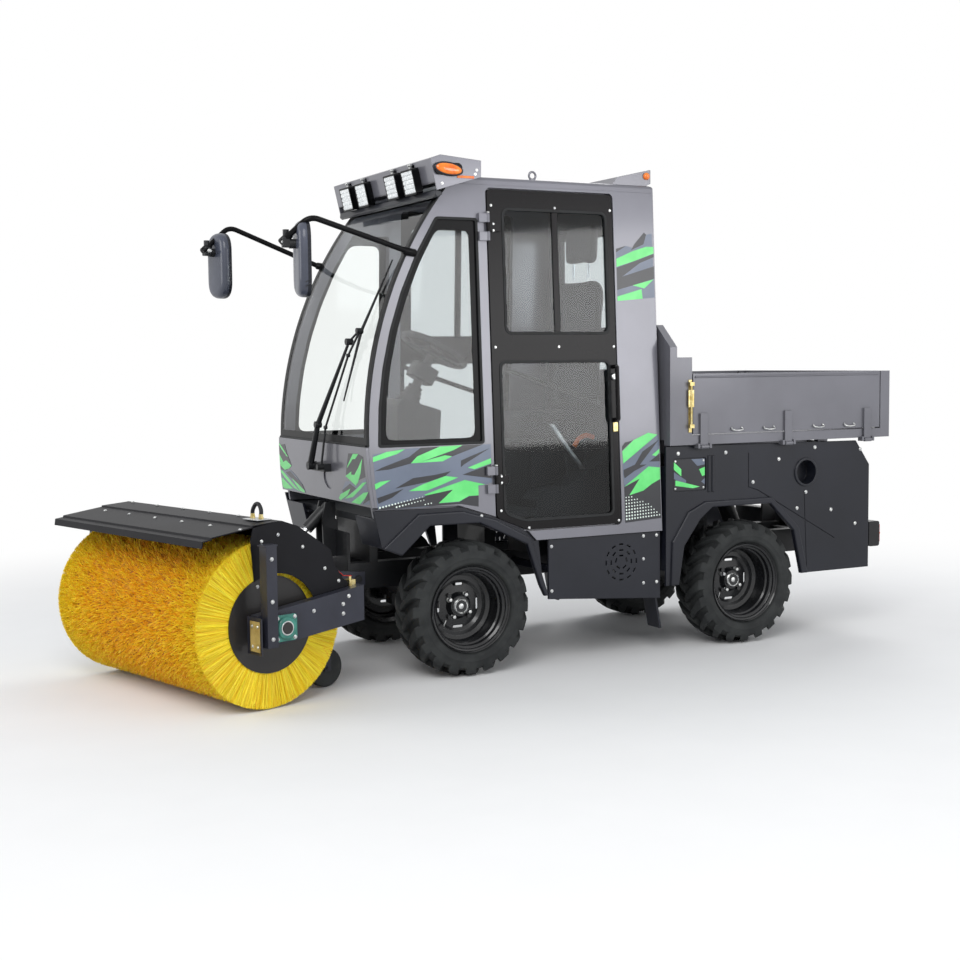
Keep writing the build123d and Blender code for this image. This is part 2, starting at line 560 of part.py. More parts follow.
def frame():
    """Two rails with cross members, cab and body brackets, the bed's hinge ears and the lift bracket."""
    low = RAIL_TOP - RAIL_H
    solid = block(RAIL_REAR, RAIL_FRONT, RAIL_Y - RAIL_W / 2, RAIL_OUT, low, RAIL_TOP)
    solid += other_side(solid)
    for x in (RAIL_FRONT - 30, -330, CAB_REAR + 15, HOIST_FOOT_X - 60, RAIL_REAR + 40):
        solid += block(x - 25, x + 25, -RAIL_Y, RAIL_Y, low + 20, RAIL_TOP - 20)
    solid += block(300, 340, -200, 200, RAIL_TOP, TOE_FLOOR_Z)
    for side in (1, -1):
        for x in (-450, CAB_REAR + 75):
            solid += block(x - 30, x + 30, side * 120, side * 420, RAIL_TOP, FLOOR_Z)
        ear = [(RAIL_REAR, low), (BED_PIN_X + 110, low), (BED_PIN_X + 90, 700),
               (BED_PIN_X + 28, BED_PIN_Z + 26), (BED_PIN_X - 28, BED_PIN_Z + 26), (BED_PIN_X - 28, 760),
               (RAIL_REAR, 640)]
        solid += side_plate(ear, side * (RAIL_OUT - 15), side * RAIL_OUT)
        rest = CAB_REAR - 255
        solid += block(rest - 20, rest + 20, side * RAIL_Y - 20, side * RAIL_Y + 20, RAIL_TOP, BED_RUNNER_Z)
        solid += block(HOIST_FOOT_X - 50, HOIST_FOOT_X + 24, side * 30, side * 42, HOIST_FOOT_Z - 38,
                       HOIST_FOOT_Z + 24)
        solid += side_plate([(RAIL_FRONT + 12, 520), (500, 520), (505, 700), (488, LIFT_TOP_Z + 27),
                             (RAIL_FRONT + 10, LIFT_TOP_Z + 27)], side * 34, side * 46)
        solid += drum(LIFT_PIN_R, side * (RAIL_OUT - 5), side * (ARM_Y + 20), LIFT_PIN_X, LIFT_PIN_Z)
        for x in (CAB_REAR - 165, CAB_REAR - 505):
            inner_y, outer_y = side * (ENGINE_Y + SEAM), side * RAIL_Y
            solid += block(x - 35, x + 35, inner_y, outer_y, RAIL_TOP - 10, RAIL_TOP + 70)
    solid += block(RAIL_FRONT, RAIL_FRONT + 12, -RAIL_OUT, RAIL_OUT, low, 640)
    solid += block(RAIL_FRONT, RAIL_FRONT + 12, -46, 46, 520, 690)
    solid += drum(BED_PIN_R, -RAIL_OUT - 40, RAIL_OUT + 40, BED_PIN_X, BED_PIN_Z)
    solid += drum(HOIST_PIN_R, -42, 42, HOIST_FOOT_X, HOIST_FOOT_Z)
    solid += drum(LIFT_CYLINDER_PIN_R, -46, 46, LIFT_TOP_X, LIFT_TOP_Z)
    return one(solid)


def engine():
    """The engine and its gearbox, as one plain block at their place."""
    return block(CAB_REAR - 585, CAB_REAR - 65, -ENGINE_Y, ENGINE_Y, RAIL_TOP + 10, RAIL_TOP + 360)


def front_axle():
    """The beam with its centre housing, yokes and steering cylinder."""
    z = TYRE_R
    beam = drum(42, -(KINGPIN_Y - 45), KINGPIN_Y - 45, 0, z)
    beam += drum(85, -70, 70, 0, z)
    for side in (1, -1):
        ear_y = side * KINGPIN_Y
        for level in (1, -1):
            beam += Pos(0, ear_y, z + level * 82) * Cylinder(26, 20)
            beam += block(-24, 24, side * (KINGPIN_Y - 70), ear_y, z + level * 82 - 10, z + level * 82 + 10)
        beam += block(-24, 24, side * (KINGPIN_Y - 70), side * (KINGPIN_Y - 46), z - 92, z + 92)
        beam += block(-30, 30, side * (RAIL_Y - 30), side * RAIL_OUT, z, RAIL_TOP - RAIL_H)
        for level in (1, -1):
            beam += Pos(0, ear_y, z + level * 66) * Cylinder(12, 30)
    return one(beam)


def knuckle():
    """The steered hub carrier of the left wheel."""
    z = TYRE_R
    body = Pos(0, KINGPIN_Y, z) * Cylinder(24, 140)
    body += drum(60, KINGPIN_Y, HUB_FACE - 12, 0, z)
    body += drum(SPINDLE_R, KINGPIN_Y, HUB_FACE + 30, 0, z)
    body += block(-110, 0, KINGPIN_Y - 10, KINGPIN_Y + 10, z - 12, z + 12)
    for level in (1, -1):
        body -= Pos(0, KINGPIN_Y, z + level * 66) * Cylinder(12 + RUNNING_FIT, 31)
    return one(body)


def rear_axle():
    """The beam with its centre housing and hubs."""
    z = TYRE_R
    beam = drum(42, -(HUB_FACE - 40), HUB_FACE - 40, -WHEELBASE, z)
    beam += drum(95, -90, 90, -WHEELBASE, z)
    for side in (1, -1):
        beam += drum(60, side * (HUB_FACE - 60), side * (HUB_FACE - 12), -WHEELBASE, z)
        beam += drum(SPINDLE_R, side * (HUB_FACE - 20), side * (HUB_FACE + 30), -WHEELBASE, z)
        beam += block(-WHEELBASE - 30, -WHEELBASE + 30, side * (RAIL_Y - 30), side * RAIL_OUT, z,
                      RAIL_TOP - RAIL_H)
    return one(beam)


def wheel_ring(profile):
    """A solid of revolution about Y, from points (y, radius)."""
    points = [(r, y) for y, r in profile]
    face = make_face(Polyline(*points, close=True))
    solid = revolve(Plane.XZ * face, Axis.Z)
    return Rot(-90, 0, 0) * solid


def tyre():
    """A tyre of the left side, in the wheel's own place: bead, sidewall, shoulder and tread."""
    w, bead, waist = TYRE_WIDTH / 2, RIM_WIDTH / 2 - 13, (RIM_R + TYRE_R) / 2 - 5
    half = [(w - 34, TYRE_R - 26), (w - 12, waist), (w - 24, RIM_R + 12), (bead - 14, RIM_R - 18),
            (bead, RIM_R - 14.1), (bead + 6, RIM_R + 3), (w - 5, RIM_R + 12), (w, waist),
            (w - 8, TYRE_R - 28), (w - 30, TYRE_R - 6), (40, TYRE_R)]
    return wheel_ring(half + [(-y, r) for y, r in reversed(half)])


def rim():
    """A steel rim of the left side: drop centre, flanges, a dished disc and the hub cap."""
    w = RIM_WIDTH / 2
    face = HUB_FACE - WHEEL_MID
    bore = SPINDLE_R + RUNNING_FIT
    outer_half = [(face, bore), (face + 34, bore), (face + 34, 46), (face + 12, 62), (face + 8, 104),
                  (face + 17, 118), (face + 17, 138), (face + 26, 154), (w - 52, 160), (w - 46, 167),
                  (w - 26, 169), (w - 20, 177), (w - 6, RIM_R - 5), (w, RIM_R), (w - 4, RIM_R),
                  (w - 11, RIM_R - 14), (w - 40, RIM_R - 22), (20, 164)]
    inner_half = [(-30, 164), (-w + 30, 173), (-w + 11, RIM_R - 14), (-w + 4, RIM_R), (-w, RIM_R),
                  (-w + 6, 176), (-w + 30, 168), (-26, 159), (face + 8, 157), (face, 122)]
    disc = wheel_ring(outer_half + inner_half)
    disc += drum(34, face + 34, face + 46)
    for k in range(4):
        stud = math.radians(45 + 90 * k)
        disc += drum(10, face + 6, face + 26, 70 * math.cos(stud), 70 * math.sin(stud))
        slot = fillet(block(-26, 26, face - 20, face + 40, 91, 103).edges().filter_by(Axis.Y), 5.5)
        disc -= Rot(0, 90 * k, 0) * slot
    return one(disc)


def seat_base():
    """The seat's box, narrower at its foot, with a plinth and a slide rail each side."""
    floor, waist = FLOOR_Z + FLOOR_T, SEAT_Z - 60
    box = block(-920, -500, -215, 215, floor + 60, waist)
    box = fillet(box.edges().filter_by(Axis.Z), 24)
    box += block(-930, -490, -225, 225, floor, floor + 60)
    tray = fillet(block(-930, -440, -230, 230, SEAT_Z - 24, SEAT_Z).edges().filter_by(Axis.Z), 24)
    for side in (1, -1):
        tray += block(-900, -470, side * 150, side * 190, waist, SEAT_Z - 24)
    return one(box + tray)


def seat():
    """The cushion, and the backrest with its headrest on two posts."""
    cushion = fillet(block(-930, -430, -235, 235, SEAT_Z + SEAM, SEAT_TOP).edges(), 30)
    recline = Pos(-880, 0, SEAT_TOP) * Rot(0, -3, 0)
    back = fillet((Pos(0, 0, BACK_HEIGHT / 2) * Box(66, 440, BACK_HEIGHT + 60)).edges(), 24)
    head = fillet((Pos(0, 0, HEADREST_UP) * Box(70, 270, 215)).edges(), 26)
    solid = recline * (back + head)
    for y in (70, -70):
        solid += recline * Pos(0, y, BACK_HEIGHT + 35) * Cylinder(7, 100)
    solid -= block(-1100, -300, -400, 400, SEAT_Z, SEAT_TOP + SEAM)
    return one(cushion), one(solid)


def console():
    """The pedestal with the column, its boot and switch box, and a slanted console each side of the seat."""
    run = (WHEEL_CENTRE - COLUMN_FOOT).normalized()
    floor, shelf = TOE_FLOOR_Z + FLOOR_T, 1240
    post = bar(tuple(COLUMN_FOOT), tuple(WHEEL_CENTRE - run * 34), COLUMN_R)
    pedestal = [(-40, floor), (150, floor), (152, shelf - 30), (120, shelf), (-72, shelf - 60)]
    post += fillet(side_plate(pedestal, -120, 120).edges().filter_by(Axis.Y), 10)
    boot = [(0, 0), (62, 0)]
    for fold in range(4):
        wide, up = 62 - 6 * fold, 14 + 20 * fold
        boot += [(wide, up), (wide - 12, up), (wide - 8, up + 20)]
    boot_face = Plane.XZ * make_face(Polyline(*boot, (0, boot[-1][1]), close=True))
    post += Plane(tuple(COLUMN_FOOT), z_dir=tuple(run)) * revolve(boot_face, Axis.Z)
    box = fillet(block(-58, 58, -48, 48, 130, 205).edges().filter_by(Axis.Z), 12)
    post += Plane(tuple(COLUMN_FOOT), z_dir=tuple(run)) * box
    low = FLOOR_Z + FLOOR_T
    outline = [(-930, low), (-420, low), (-420, 760), (-470, 800), (-587, 815), (-877, 983), (-930, 983)]
    sides = []
    for side in (1, -1):
        sides.append(fillet(side_plate(outline, side * 262, side * 400).edges().filter_by(Axis.Y), 8))
    lever_y, knob_r = 330, 19
    for x, top, lean in ((-640, 1120, 40), (-740, 1120, 10)):
        sides[0] += bar((x, lever_y, 840), (x + lean, lever_y, top), 6)
        sides[0] += Pos(x + lean, lever_y, top) * Sphere(knob_r)
    return Compound([one(post)] + [one(shape) for shape in sides])


def steering_wheel():
    """The wheel and its spokes, square to the column."""
    run = (WHEEL_CENTRE - COLUMN_FOOT).normalized()
    place = Plane(tuple(WHEEL_CENTRE), x_dir=(0, 1, 0), z_dir=tuple(run))
    wheel = Torus(STEERING_R, 15)
    for k in range(3):
        spoke = Pos(STEERING_R / 2, 0, -5) * Box(STEERING_R, 30, 10)
        wheel += Rot(0, 0, 90 + 120 * k) * fillet(spoke.edges().filter_by(Axis.X), 4)
    hub = [(0, -28), (34, -28), (44, -14), (44, 0), (34, 9), (0, 14)]
    wheel += revolve(Plane.XZ * make_face(Polyline(*hub, close=True)), Axis.Z)
    return one(place * wheel)


def mirror_head():
    """A mirror's head: a domed shell with a grooved rim, the sunk glass, and its clamp in front."""
    depth, width, height = MIRROR_SIZE
    outline = RectangleRounded(width, height, width / 2 - 6)
    shell = extrude(outline, depth)
    shell = fillet(shell.faces().sort_by(Axis.Z)[-1].edges(), 26)
    shell -= extrude(offset(outline, -9), 3)
    shell -= Pos(0, 0, 10) * extrude(outline - offset(outline, -3), 4)
    clamp_up = 62
    shell += Pos(0, clamp_up, depth - 3) * Cylinder(20, 30, align=FROM_BASE)
    clamp = Pos(0, clamp_up + 6, depth + 40) * Box(34, 44, 34)
    shell += fillet(clamp.edges(), 5)
    shell += Pos(0, clamp_up + 22, depth + 40) * Rot(90, 0, 0) * Cylinder(13, 70)
    return Plane((-depth / 2, 0, 0), x_dir=(0, 1, 0), z_dir=(1, 0, 0)) * shell


def mirrors():
    """A mirror head each side on a bent arm from the windscreen pillar; the right one stands higher."""
    radius = 8
    foot_z = ROOF_Z - 342
    foot_x, foot_y = front_x(foot_z) - 35, side_y(foot_z, -radius - SEAM)
    arms = (  # side, bend x, y and z, head x and z
        (1, 765, 640, foot_z + 125, 780, foot_z - 45),
        (-1, 706, 600, foot_z + 189, 767, foot_z - 1),
    )
    solids = []
    for side, bend_x, bend_y, bend_z, head_x, head_z in arms:
        grip = Pos(head_x, side * MIRROR_Y, head_z) * Rot(0, 0, -side * MIRROR_TOE)
        end = (grip * Pos(MIRROR_SIZE[0] / 2 + 40, 0, 84)).position
        path = FilletPolyline((foot_x, side * foot_y, foot_z), (290, side * 522, foot_z + 8),
                              (bend_x, side * bend_y, bend_z), tuple(end), radius=(20, 60))
        arm = sweep(Plane(path @ 0, z_dir=path % 0) * Circle(radius), path=path)
        solids.append(one(arm + grip * mirror_head()))
    return Compound(solids)


def taper_bar(start, end, radius_start, radius_end):
    """A round bar that narrows from one point to another."""
    run = Vector(*end) - Vector(*start)
    cone = Cone(radius_start, radius_end, run.length, align=FROM_BASE)
    return Plane(start, z_dir=run) * cone


def wiper():
    """The wiper: two pivots on the front panel, a strong arm and a thin one beside it, and their blade."""
    def on_front(y, z, out):
        return front_x(z, out), y, z

    def boss(y, z, low, high, radius):
        return bar(on_front(y, z, low), on_front(y, z, high), radius)

    main_y, link_y, pivot_z = 0, 118, 940
    joint_y, joint_z = 369, 1546
    face = front_x(pivot_z, PANEL_T)
    wiper_set = block(face - 4, face + 34, main_y - 24, link_y + 18, pivot_z - 22, pivot_z + 14)
    wiper_set -= front_drum(PANEL_T + SEAM)
    for y, radius in ((main_y, 19), (link_y, 13)):
        wiper_set += bar((face + 20, y, pivot_z), (face + 62, y, pivot_z), radius)
    arm = (  # y, z, distance off the glass, radius
        (main_y, pivot_z, 62, 15), (main_y + 75, 1130, 50, 12), (main_y + 300, 1500, 40, 6))
    for (y0, z0, out0, r0), (y1, z1, out1, r1) in zip(arm, arm[1:]):
        wiper_set += taper_bar(on_front(y0, z0, out0), on_front(y1, z1, out1), r0, r1)
        wiper_set += boss(y1, z1, out1 - 15, out1 + 15, 15)
    wiper_set += bar(on_front(main_y + 300, 1500, 40), on_front(joint_y, joint_z, 34), 5)
    link = ((link_y, pivot_z, 55), (link_y + 40, 1120, 45), (link_y + 190, 1440, 34), (joint_y, joint_z, 30))
    for low, high in zip(link, link[1:]):
        wiper_set += bar(on_front(*low), on_front(*high), 5)
    for y, z, out in link[1:3]:
        wiper_set += boss(y, z, out - 7, out + 7, 8)
    for blade_end in ((300, 1240), (438, 1852)):
        wiper_set += taper_bar(on_front(joint_y, joint_z, 23), on_front(*blade_end, 22), 7, 3.5)
    wiper_set += boss(joint_y, joint_z, 18, 46, 13)
    return one(wiper_set)


def rear_bumper():
    """The rear cross bar with its towing jaw."""
    rear, front = BED_REAR + 20, BED_REAR + 90
    beam = fillet(block(rear, front, -BUMPER_Y, BUMPER_Y, 430, 560).edges().filter_by(Axis.Y), 12)
    beam += block(front, RAIL_REAR, -RAIL_OUT, RAIL_OUT, 400, 480)
    for z in (JAW_Z - JAW_HEIGHT / 2, JAW_Z + JAW_HEIGHT / 2 - 20):
        beam += block(JAW_X - 28, rear, -45, 45, z, z + 20)
    beam -= Pos(JAW_X, 0, JAW_Z) * Cylinder(JAW_BORE_R, 2 * JAW_HEIGHT)
    return one(beam)


def tail_lamps():
    """Two lamp clusters on the rear bar."""
    rear, y = BED_REAR + 20, BUMPER_Y - 60
    return Compound([block(rear - 12, rear, side * y - 50, side * y + 50, 450, 540) for side in (1, -1)])


def along_x(x0, x1, y, z, radius):
    return bar((x0, y, z), (x1, y, z), radius)


def bed():
    """The deck with its side rails, runners, headboard, corner posts, hinge ears and the hoist's lug."""
    deck = block(BED_REAR, BED_FRONT, -BED_Y + 2, BED_Y - 2, BED_DECK_Z - 20, BED_DECK_Z)
    for side in (1, -1):
        inner = side * (BED_Y - 40)
        deck += block(BED_REAR, BED_FRONT, side * (BED_Y - 50), side * BED_Y, BED_RAIL_Z, BED_DECK_Z)
        deck += block(BED_PIN_X + 60, BED_FRONT - 40, side * 110, side * 150, BED_RUNNER_Z + SEAM,
                      BED_DECK_Z - 20)
        deck += block(BED_FRONT - POST_LENGTH, BED_FRONT, inner, side * BED_Y, BED_DECK_Z, POST_TOP)
        deck += block(BED_REAR, BED_REAR + REAR_POST_LENGTH, inner, side * BED_Y, BED_DECK_Z, GATE_TOP)
        deck += side_plate([(BED_PIN_X - 26, BED_PIN_Z - 26), (BED_PIN_X + 26, BED_PIN_Z - 26),
                            (BED_PIN_X + 40, BED_RAIL_Z + 30), (BED_PIN_X - 40, BED_RAIL_Z + 30)],
                           side * (RAIL_OUT + MOVING_GAP), side * (RAIL_OUT + 20))
        deck += side_plate([(HOIST_EYE_X - 22, HOIST_EYE_Z - 24), (HOIST_EYE_X + 22, HOIST_EYE_Z - 24),
                            (HOIST_EYE_X + 40, BED_RAIL_Z + 30), (HOIST_EYE_X - 40, BED_RAIL_Z + 30)],
                           side * 33, side * 45)
        for x in gate_hinges():
            deck += along_x(x - 40, x + 40, side * GATE_PIN_Y, GATE_PIN_Z, GATE_PIN_R)
            for end in (x - 40, x + 28):
                deck += block(end, end + 12, side * (BED_Y - 14), side * (GATE_PIN_Y + 6), GATE_PIN_Z - 7,
                              BED_RAIL_Z + 6)
    for y in TAIL_HINGES:
        deck += drum(GATE_PIN_R, y - 40, y + 40, TAIL_PIN_X, TAIL_PIN_Z)
        for end in (y - 40, y + 28):
            deck += block(TAIL_PIN_X - 8, BED_REAR + 10, end, end + 12, TAIL_PIN_Z - 8, TAIL_PIN_Z + 8)
    deck -= drum(BED_PIN_R + RUNNING_FIT, -BED_Y, BED_Y, BED_PIN_X, BED_PIN_Z)
    shoulder, top, eaves = 116, BED_DECK_Z + 526, BED_DECK_Z + 420
    head = [(-BED_Y, BED_DECK_Z), (BED_Y, BED_DECK_Z), (BED_Y, eaves), (BED_Y - shoulder, top),
            (shoulder - BED_Y, top), (-BED_Y, eaves)]
    board = cross_plate(head, BED_FRONT - 40, BED_FRONT)
    half = BED_Y - 180
    board -= block(BED_FRONT - 50, BED_FRONT + 10, -half, half, top - 211, top - 51)
    return one(deck + board)


def gate_hinges():
    """Where the three hinges of a drop side stand along the bed."""
    first = BED_FRONT - POST_LENGTH - MOVING_GAP - 58
    last = BED_REAR + REAR_POST_LENGTH + MOVING_GAP + 89
    return [first, (first + last) / 2, last]


def side_gate():
    """The left drop side, with its hinge straps."""
    x0 = BED_REAR + REAR_POST_LENGTH + MOVING_GAP
    x1 = BED_FRONT - POST_LENGTH - MOVING_GAP
    bottom, strap_top = BED_DECK_Z + MOVING_GAP, BED_DECK_Z + 105
    gate = block(x0, x1, BED_Y - GATE_T, BED_Y, bottom, GATE_TOP)
    for x in gate_hinges():
        gate += block(x - 22, x + 22, BED_Y, BED_Y + MOVING_GAP, bottom, strap_top)
        gate += block(x - 22, x + 22, GATE_PIN_Y - 6, GATE_PIN_Y, GATE_PIN_Z, strap_top)
        gate += along_x(x - 22, x + 22, GATE_PIN_Y, GATE_PIN_Z, 10)
        gate -= along_x(x - 50, x + 50, GATE_PIN_Y, GATE_PIN_Z, GATE_PIN_R + RUNNING_FIT)
    return one(gate)


def tailgate():
    """The tailgate, hinged along its bottom."""
    half = BED_Y - 40 - MOVING_GAP
    bottom, strap_top = BED_DECK_Z + MOVING_GAP, BED_DECK_Z + 105
    gate = block(BED_REAR, BED_REAR + GATE_T, -half, half, bottom, GATE_TOP)
    for y in TAIL_HINGES:
        gate += block(TAIL_PIN_X, BED_REAR, y - 22, y + 22, bottom, strap_top)
        gate += block(TAIL_PIN_X, TAIL_PIN_X + 6, y - 22, y + 22, TAIL_PIN_Z, strap_top)
        gate += drum(9, y - 22, y + 22, TAIL_PIN_X, TAIL_PIN_Z)
        gate -= drum(GATE_PIN_R + RUNNING_FIT, y - 50, y + 50, TAIL_PIN_X, TAIL_PIN_Z)
    return one(gate)


def cylinder_pair(foot, eye, sizes, stroke, cover):
    """A hydraulic cylinder between two pins along Y: its barrel, and its rod with the eye.

    The foot and the eye are places in x and z, the sizes are a table of radii and widths, the stroke is how
    far the rod moves out from here, and the cover is how much of the rod and its eye shows.
    """
    start = Vector(foot[0], 0, foot[1])
    end = Vector(eye[0], 0, eye[1])
    run = end - start
    unit = run.normalized()
    half, neck, pin_r = sizes["half_width"], sizes["neck"], sizes["pin_r"]
    mouth = start + unit * (run.length - cover)
    barrel = bar(tuple(start + unit * neck), tuple(mouth), sizes["tube_r"])
    barrel += bar(tuple(start), tuple(start + unit * (neck + 1)), half)
    barrel += drum(pin_r + 10, -half, half, foot[0], foot[1])
    barrel -= drum(pin_r + RUNNING_FIT, -2 * half, 2 * half, foot[0], foot[1])
    bottom = neck + 8
    barrel -= bar(tuple(start + unit * bottom), tuple(mouth + unit), sizes["rod_r"] + RUNNING_FIT)
    rod = bar(tuple(start + unit * (bottom + 4 + max(0, -stroke))), tuple(end), sizes["rod_r"])
    rod += drum(sizes["eye_r"], -half, half, eye[0], eye[1])
    return one(barrel), one(rod)


def hoist():
    """The bed's tipping cylinder."""
    sizes = {"pin_r": HOIST_PIN_R, "tube_r": 44, "rod_r": 27, "eye_r": 24, "half_width": 25, "neck": 46}
    return cylinder_pair((HOIST_FOOT_X, HOIST_FOOT_Z), (HOIST_EYE_X, HOIST_EYE_Z), sizes, HOIST_STROKE, 40)


def lift_cylinder():
    """The cylinder that raises the brush."""
    sizes = {"pin_r": LIFT_CYLINDER_PIN_R, "tube_r": 28, "rod_r": 13, "eye_r": 18, "half_width": 22,
             "neck": 22}
    return cylinder_pair((LIFT_TOP_X, LIFT_TOP_Z), (LIFT_EYE_X, LIFT_EYE_Z), sizes, LIFT_STROKE, 72)


def lift_arm():
    """The arm that carries the brush: side plates on the chassis pins, a cross tube and the swivel fork."""
    z, out = LIFT_PIN_Z, ARM_Y + 12
    tube_x0, tube_x1 = SWIVEL_X - 102, SWIVEL_X - 58
    arm = block(tube_x0, tube_x1, -out, out, z - 56, z + 56)
    outline = [(LIFT_PIN_X - 34, z - 30), (LIFT_PIN_X - 34, z + 30), (LIFT_PIN_X + 30, z + 36),
               (tube_x0 + 8, z + 56), (tube_x0 + 8, z - 56), (LIFT_PIN_X + 30, z - 36)]
    for side in (1, -1):
        plate = side_plate(outline, side * ARM_Y, side * out)
        arm += plate - drum(LIFT_PIN_R + RUNNING_FIT, side * (ARM_Y - 6), side * (out + 6), LIFT_PIN_X, z)
        arm += side_plate([(tube_x0 + 2, z + 50), (tube_x1, z + 50), (LIFT_EYE_X + 22, LIFT_EYE_Z + 18),
                           (LIFT_EYE_X - 18, LIFT_EYE_Z + 18)], side * 28, side * 38)
    for z0, z1 in ((z - 56, z - 42), (z + 42, z + 56)):
        arm += floor_plate([(tube_x1 - 16, -60), (SWIVEL_X, -46), (SWIVEL_X, 46), (tube_x1 - 16, 60)], z0, z1)
        arm += Pos(SWIVEL_X, 0, (z0 + z1) / 2) * Cylinder(46, z1 - z0)
    arm += Pos(SWIVEL_X, 0, z) * Cylinder(SWIVEL_R, 112)
    return one(arm)


def brush_place(shape):
    """Puts a piece drawn in the brush unit's frame on the vehicle."""
    return Pos(BRUSH_X, BRUSH_Y, 0) * Rot(0, 0, BRUSH_YAW) * shape


def brush_frame():
    """The rear beam with its swivel barrel, end beams with bearings, parking legs and gauge wheel forks."""
    swivel_u, beam_rear = -SWIVEL_TO_BRUSH, REAR_BEAM_U - 50
    unit = block(beam_rear, REAR_BEAM_U, -BEAM_S, BEAM_S, REAR_BEAM_TOP - 80, REAR_BEAM_TOP)
    unit += block(swivel_u, REAR_BEAM_U - 20, -50, 50, SWIVEL_Z - 36, SWIVEL_Z + 36)
    unit += Pos(swivel_u, 0, SWIVEL_Z) * Cylinder(44, 72)
    unit -= Pos(swivel_u, 0, SWIVEL_Z) * Cylinder(SWIVEL_R + RUNNING_FIT, 200)
    for side in (1, -1):
        s0, s1 = side * (BEAM_S - BEAM_W / 2), side * (BEAM_S + BEAM_W / 2)
        beam = [(BEAM_FRONT, 412), (beam_rear, REAR_BEAM_TOP + 8), (beam_rear, 330), (BEAM_FRONT, 272)]
        unit += side_plate(beam, s0, s1)
        unit += block(*LEG_U, s1, s1 + side * LEG_OUT, 285, 690)
        unit += block(LEG_U[0] - 5, LEG_U[1] + 5, s1 - side * 5, s1 + side * LEG_OUT, 690, 696)
        flange = Pos(0, s1 + side * 7, BRUSH_Z) * Box(112, 14, 112)
        unit += fillet(flange.edges().filter_by(Axis.Y), 12)
        unit += block(BEAM_FRONT, BEAM_FRONT + 6, s0 - side * 18, s1 + side * 36, 257, 406)
        unit += drum(40, s1 + side * 14, s1 + side * 26, 0, BRUSH_Z)
        unit -= drum(SHAFT_R + RUNNING_FIT, s0 - side * 100, s1 + side * 100, 0, BRUSH_Z)
        fork = side * GAUGE_S
        unit += block(GAUGE_U - 20, REAR_BEAM_U, fork - 30, fork + 30, 352, REAR_BEAM_TOP - 75)
        for edge in (fork - 28, fork + 22):
            unit += block(GAUGE_U - 16, GAUGE_U + 16, edge, edge + 6, GAUGE_Z - 14, 360)
        unit += drum(GAUGE_AXLE_R, fork - 34, fork + 34, GAUGE_U, GAUGE_Z)
    return one(brush_place(unit))


def gauge_wheel():
    """The left gauge wheel, a tyred roller on the fork's axle."""
    wheel = drum(GAUGE_R, GAUGE_S - 17, GAUGE_S + 17, GAUGE_U, GAUGE_Z)
    wheel = fillet(wheel.edges().filter_by(GeomType.CIRCLE), 8)
    wheel -= drum(GAUGE_AXLE_R + RUNNING_FIT, GAUGE_S - 40, GAUGE_S + 40, GAUGE_U, GAUGE_Z)
    return one(wheel)


def over_brush(angle, clearance):
    """A place in u and z, so many degrees behind the top of the brush and so far outside its bristles."""
    reach = BRUSH_R + clearance
    return -reach * math.sin(math.radians(angle)), BRUSH_Z + reach * math.cos(math.radians(angle))


def brush_hood():
    """The hood: a folded sheet over the brush with a stepped lip, and an end plate each side."""
    half = BEAM_S - BEAM_W / 2 - 14
    foot, seat, t = -BRUSH_R - 35, REAR_BEAM_TOP + SEAM, 4
    folds = ((69.4, 42), (65.1, 26), (54.2, 21), (45, 49), (33.2, 44), (16.6, 63))
    back = [over_brush(angle, clearance) for angle, clearance in folds] + [(-40, HOOD_TOP)]
    under = [over_brush(angle, clearance - t) for angle, clearance in reversed(folds)]
    step, edge = HOOD_FRONT - 40, HOOD_FRONT
    lip = [(98, HOOD_TOP - 9), (100, HOOD_TOP - 15), (step, HOOD_TOP - 40), (step + 2, HOOD_TOP - 47),
           (edge, HOOD_TOP - 52), (edge + 4, HOOD_TOP - 80), (edge, HOOD_TOP - 80), (edge - 4, HOOD_TOP - 56),
           (step - 2, HOOD_TOP - 51), (step - 4, HOOD_TOP - 44), (96, HOOD_TOP - 19), (94, HOOD_TOP - 13),
           (-38, HOOD_TOP - t)]
    sheet = side_plate(back + lip + under, -half, half)
    end = back + [(98, HOOD_TOP - 18), (111, HOOD_TOP - 67), (88, 400), (REAR_BEAM_U + 10, 400),
                  (REAR_BEAM_U + 10, seat), (foot, seat), (foot, back[0][1])]
    for side in (1, -1):
        plate = side_plate(end, side * half, side * (half + 5))
        sheet += plate - drum(DISC_R + 12, side * (half - 50), side * (half + 50), 0, BRUSH_Z)
    return one(brush_place(sheet))


def brush_roller():
    """The core tube with its end discs and shaft."""
    roll = drum(CORE_R, -BRUSH_HALF, BRUSH_HALF, 0, BRUSH_Z)
    roll += drum(SHAFT_R, -BEAM_S - 55, BEAM_S + 55, 0, BRUSH_Z)
    for side in (1, -1):
        roll += drum(DISC_R, side * BRUSH_HALF, side * (BRUSH_HALF + 5), 0, BRUSH_Z)
    return one(brush_place(roll))


def bristles():
    """The bristles, as one closed form round the core."""
    ring = drum(BRUSH_R, -BRUSH_HALF + 1, BRUSH_HALF - 1, 0, BRUSH_Z)
    ring -= drum(CORE_R, -BRUSH_HALF, BRUSH_HALF, 0, BRUSH_Z)
    return one(brush_place(ring))


def write(name, shape):
    """Moves a piece to the machine's own origin and writes it."""
    export_step(Pos(FRONT_AXLE_X, CENTRE_LINE_Y, 0) * shape, f"parts/{name}.step")


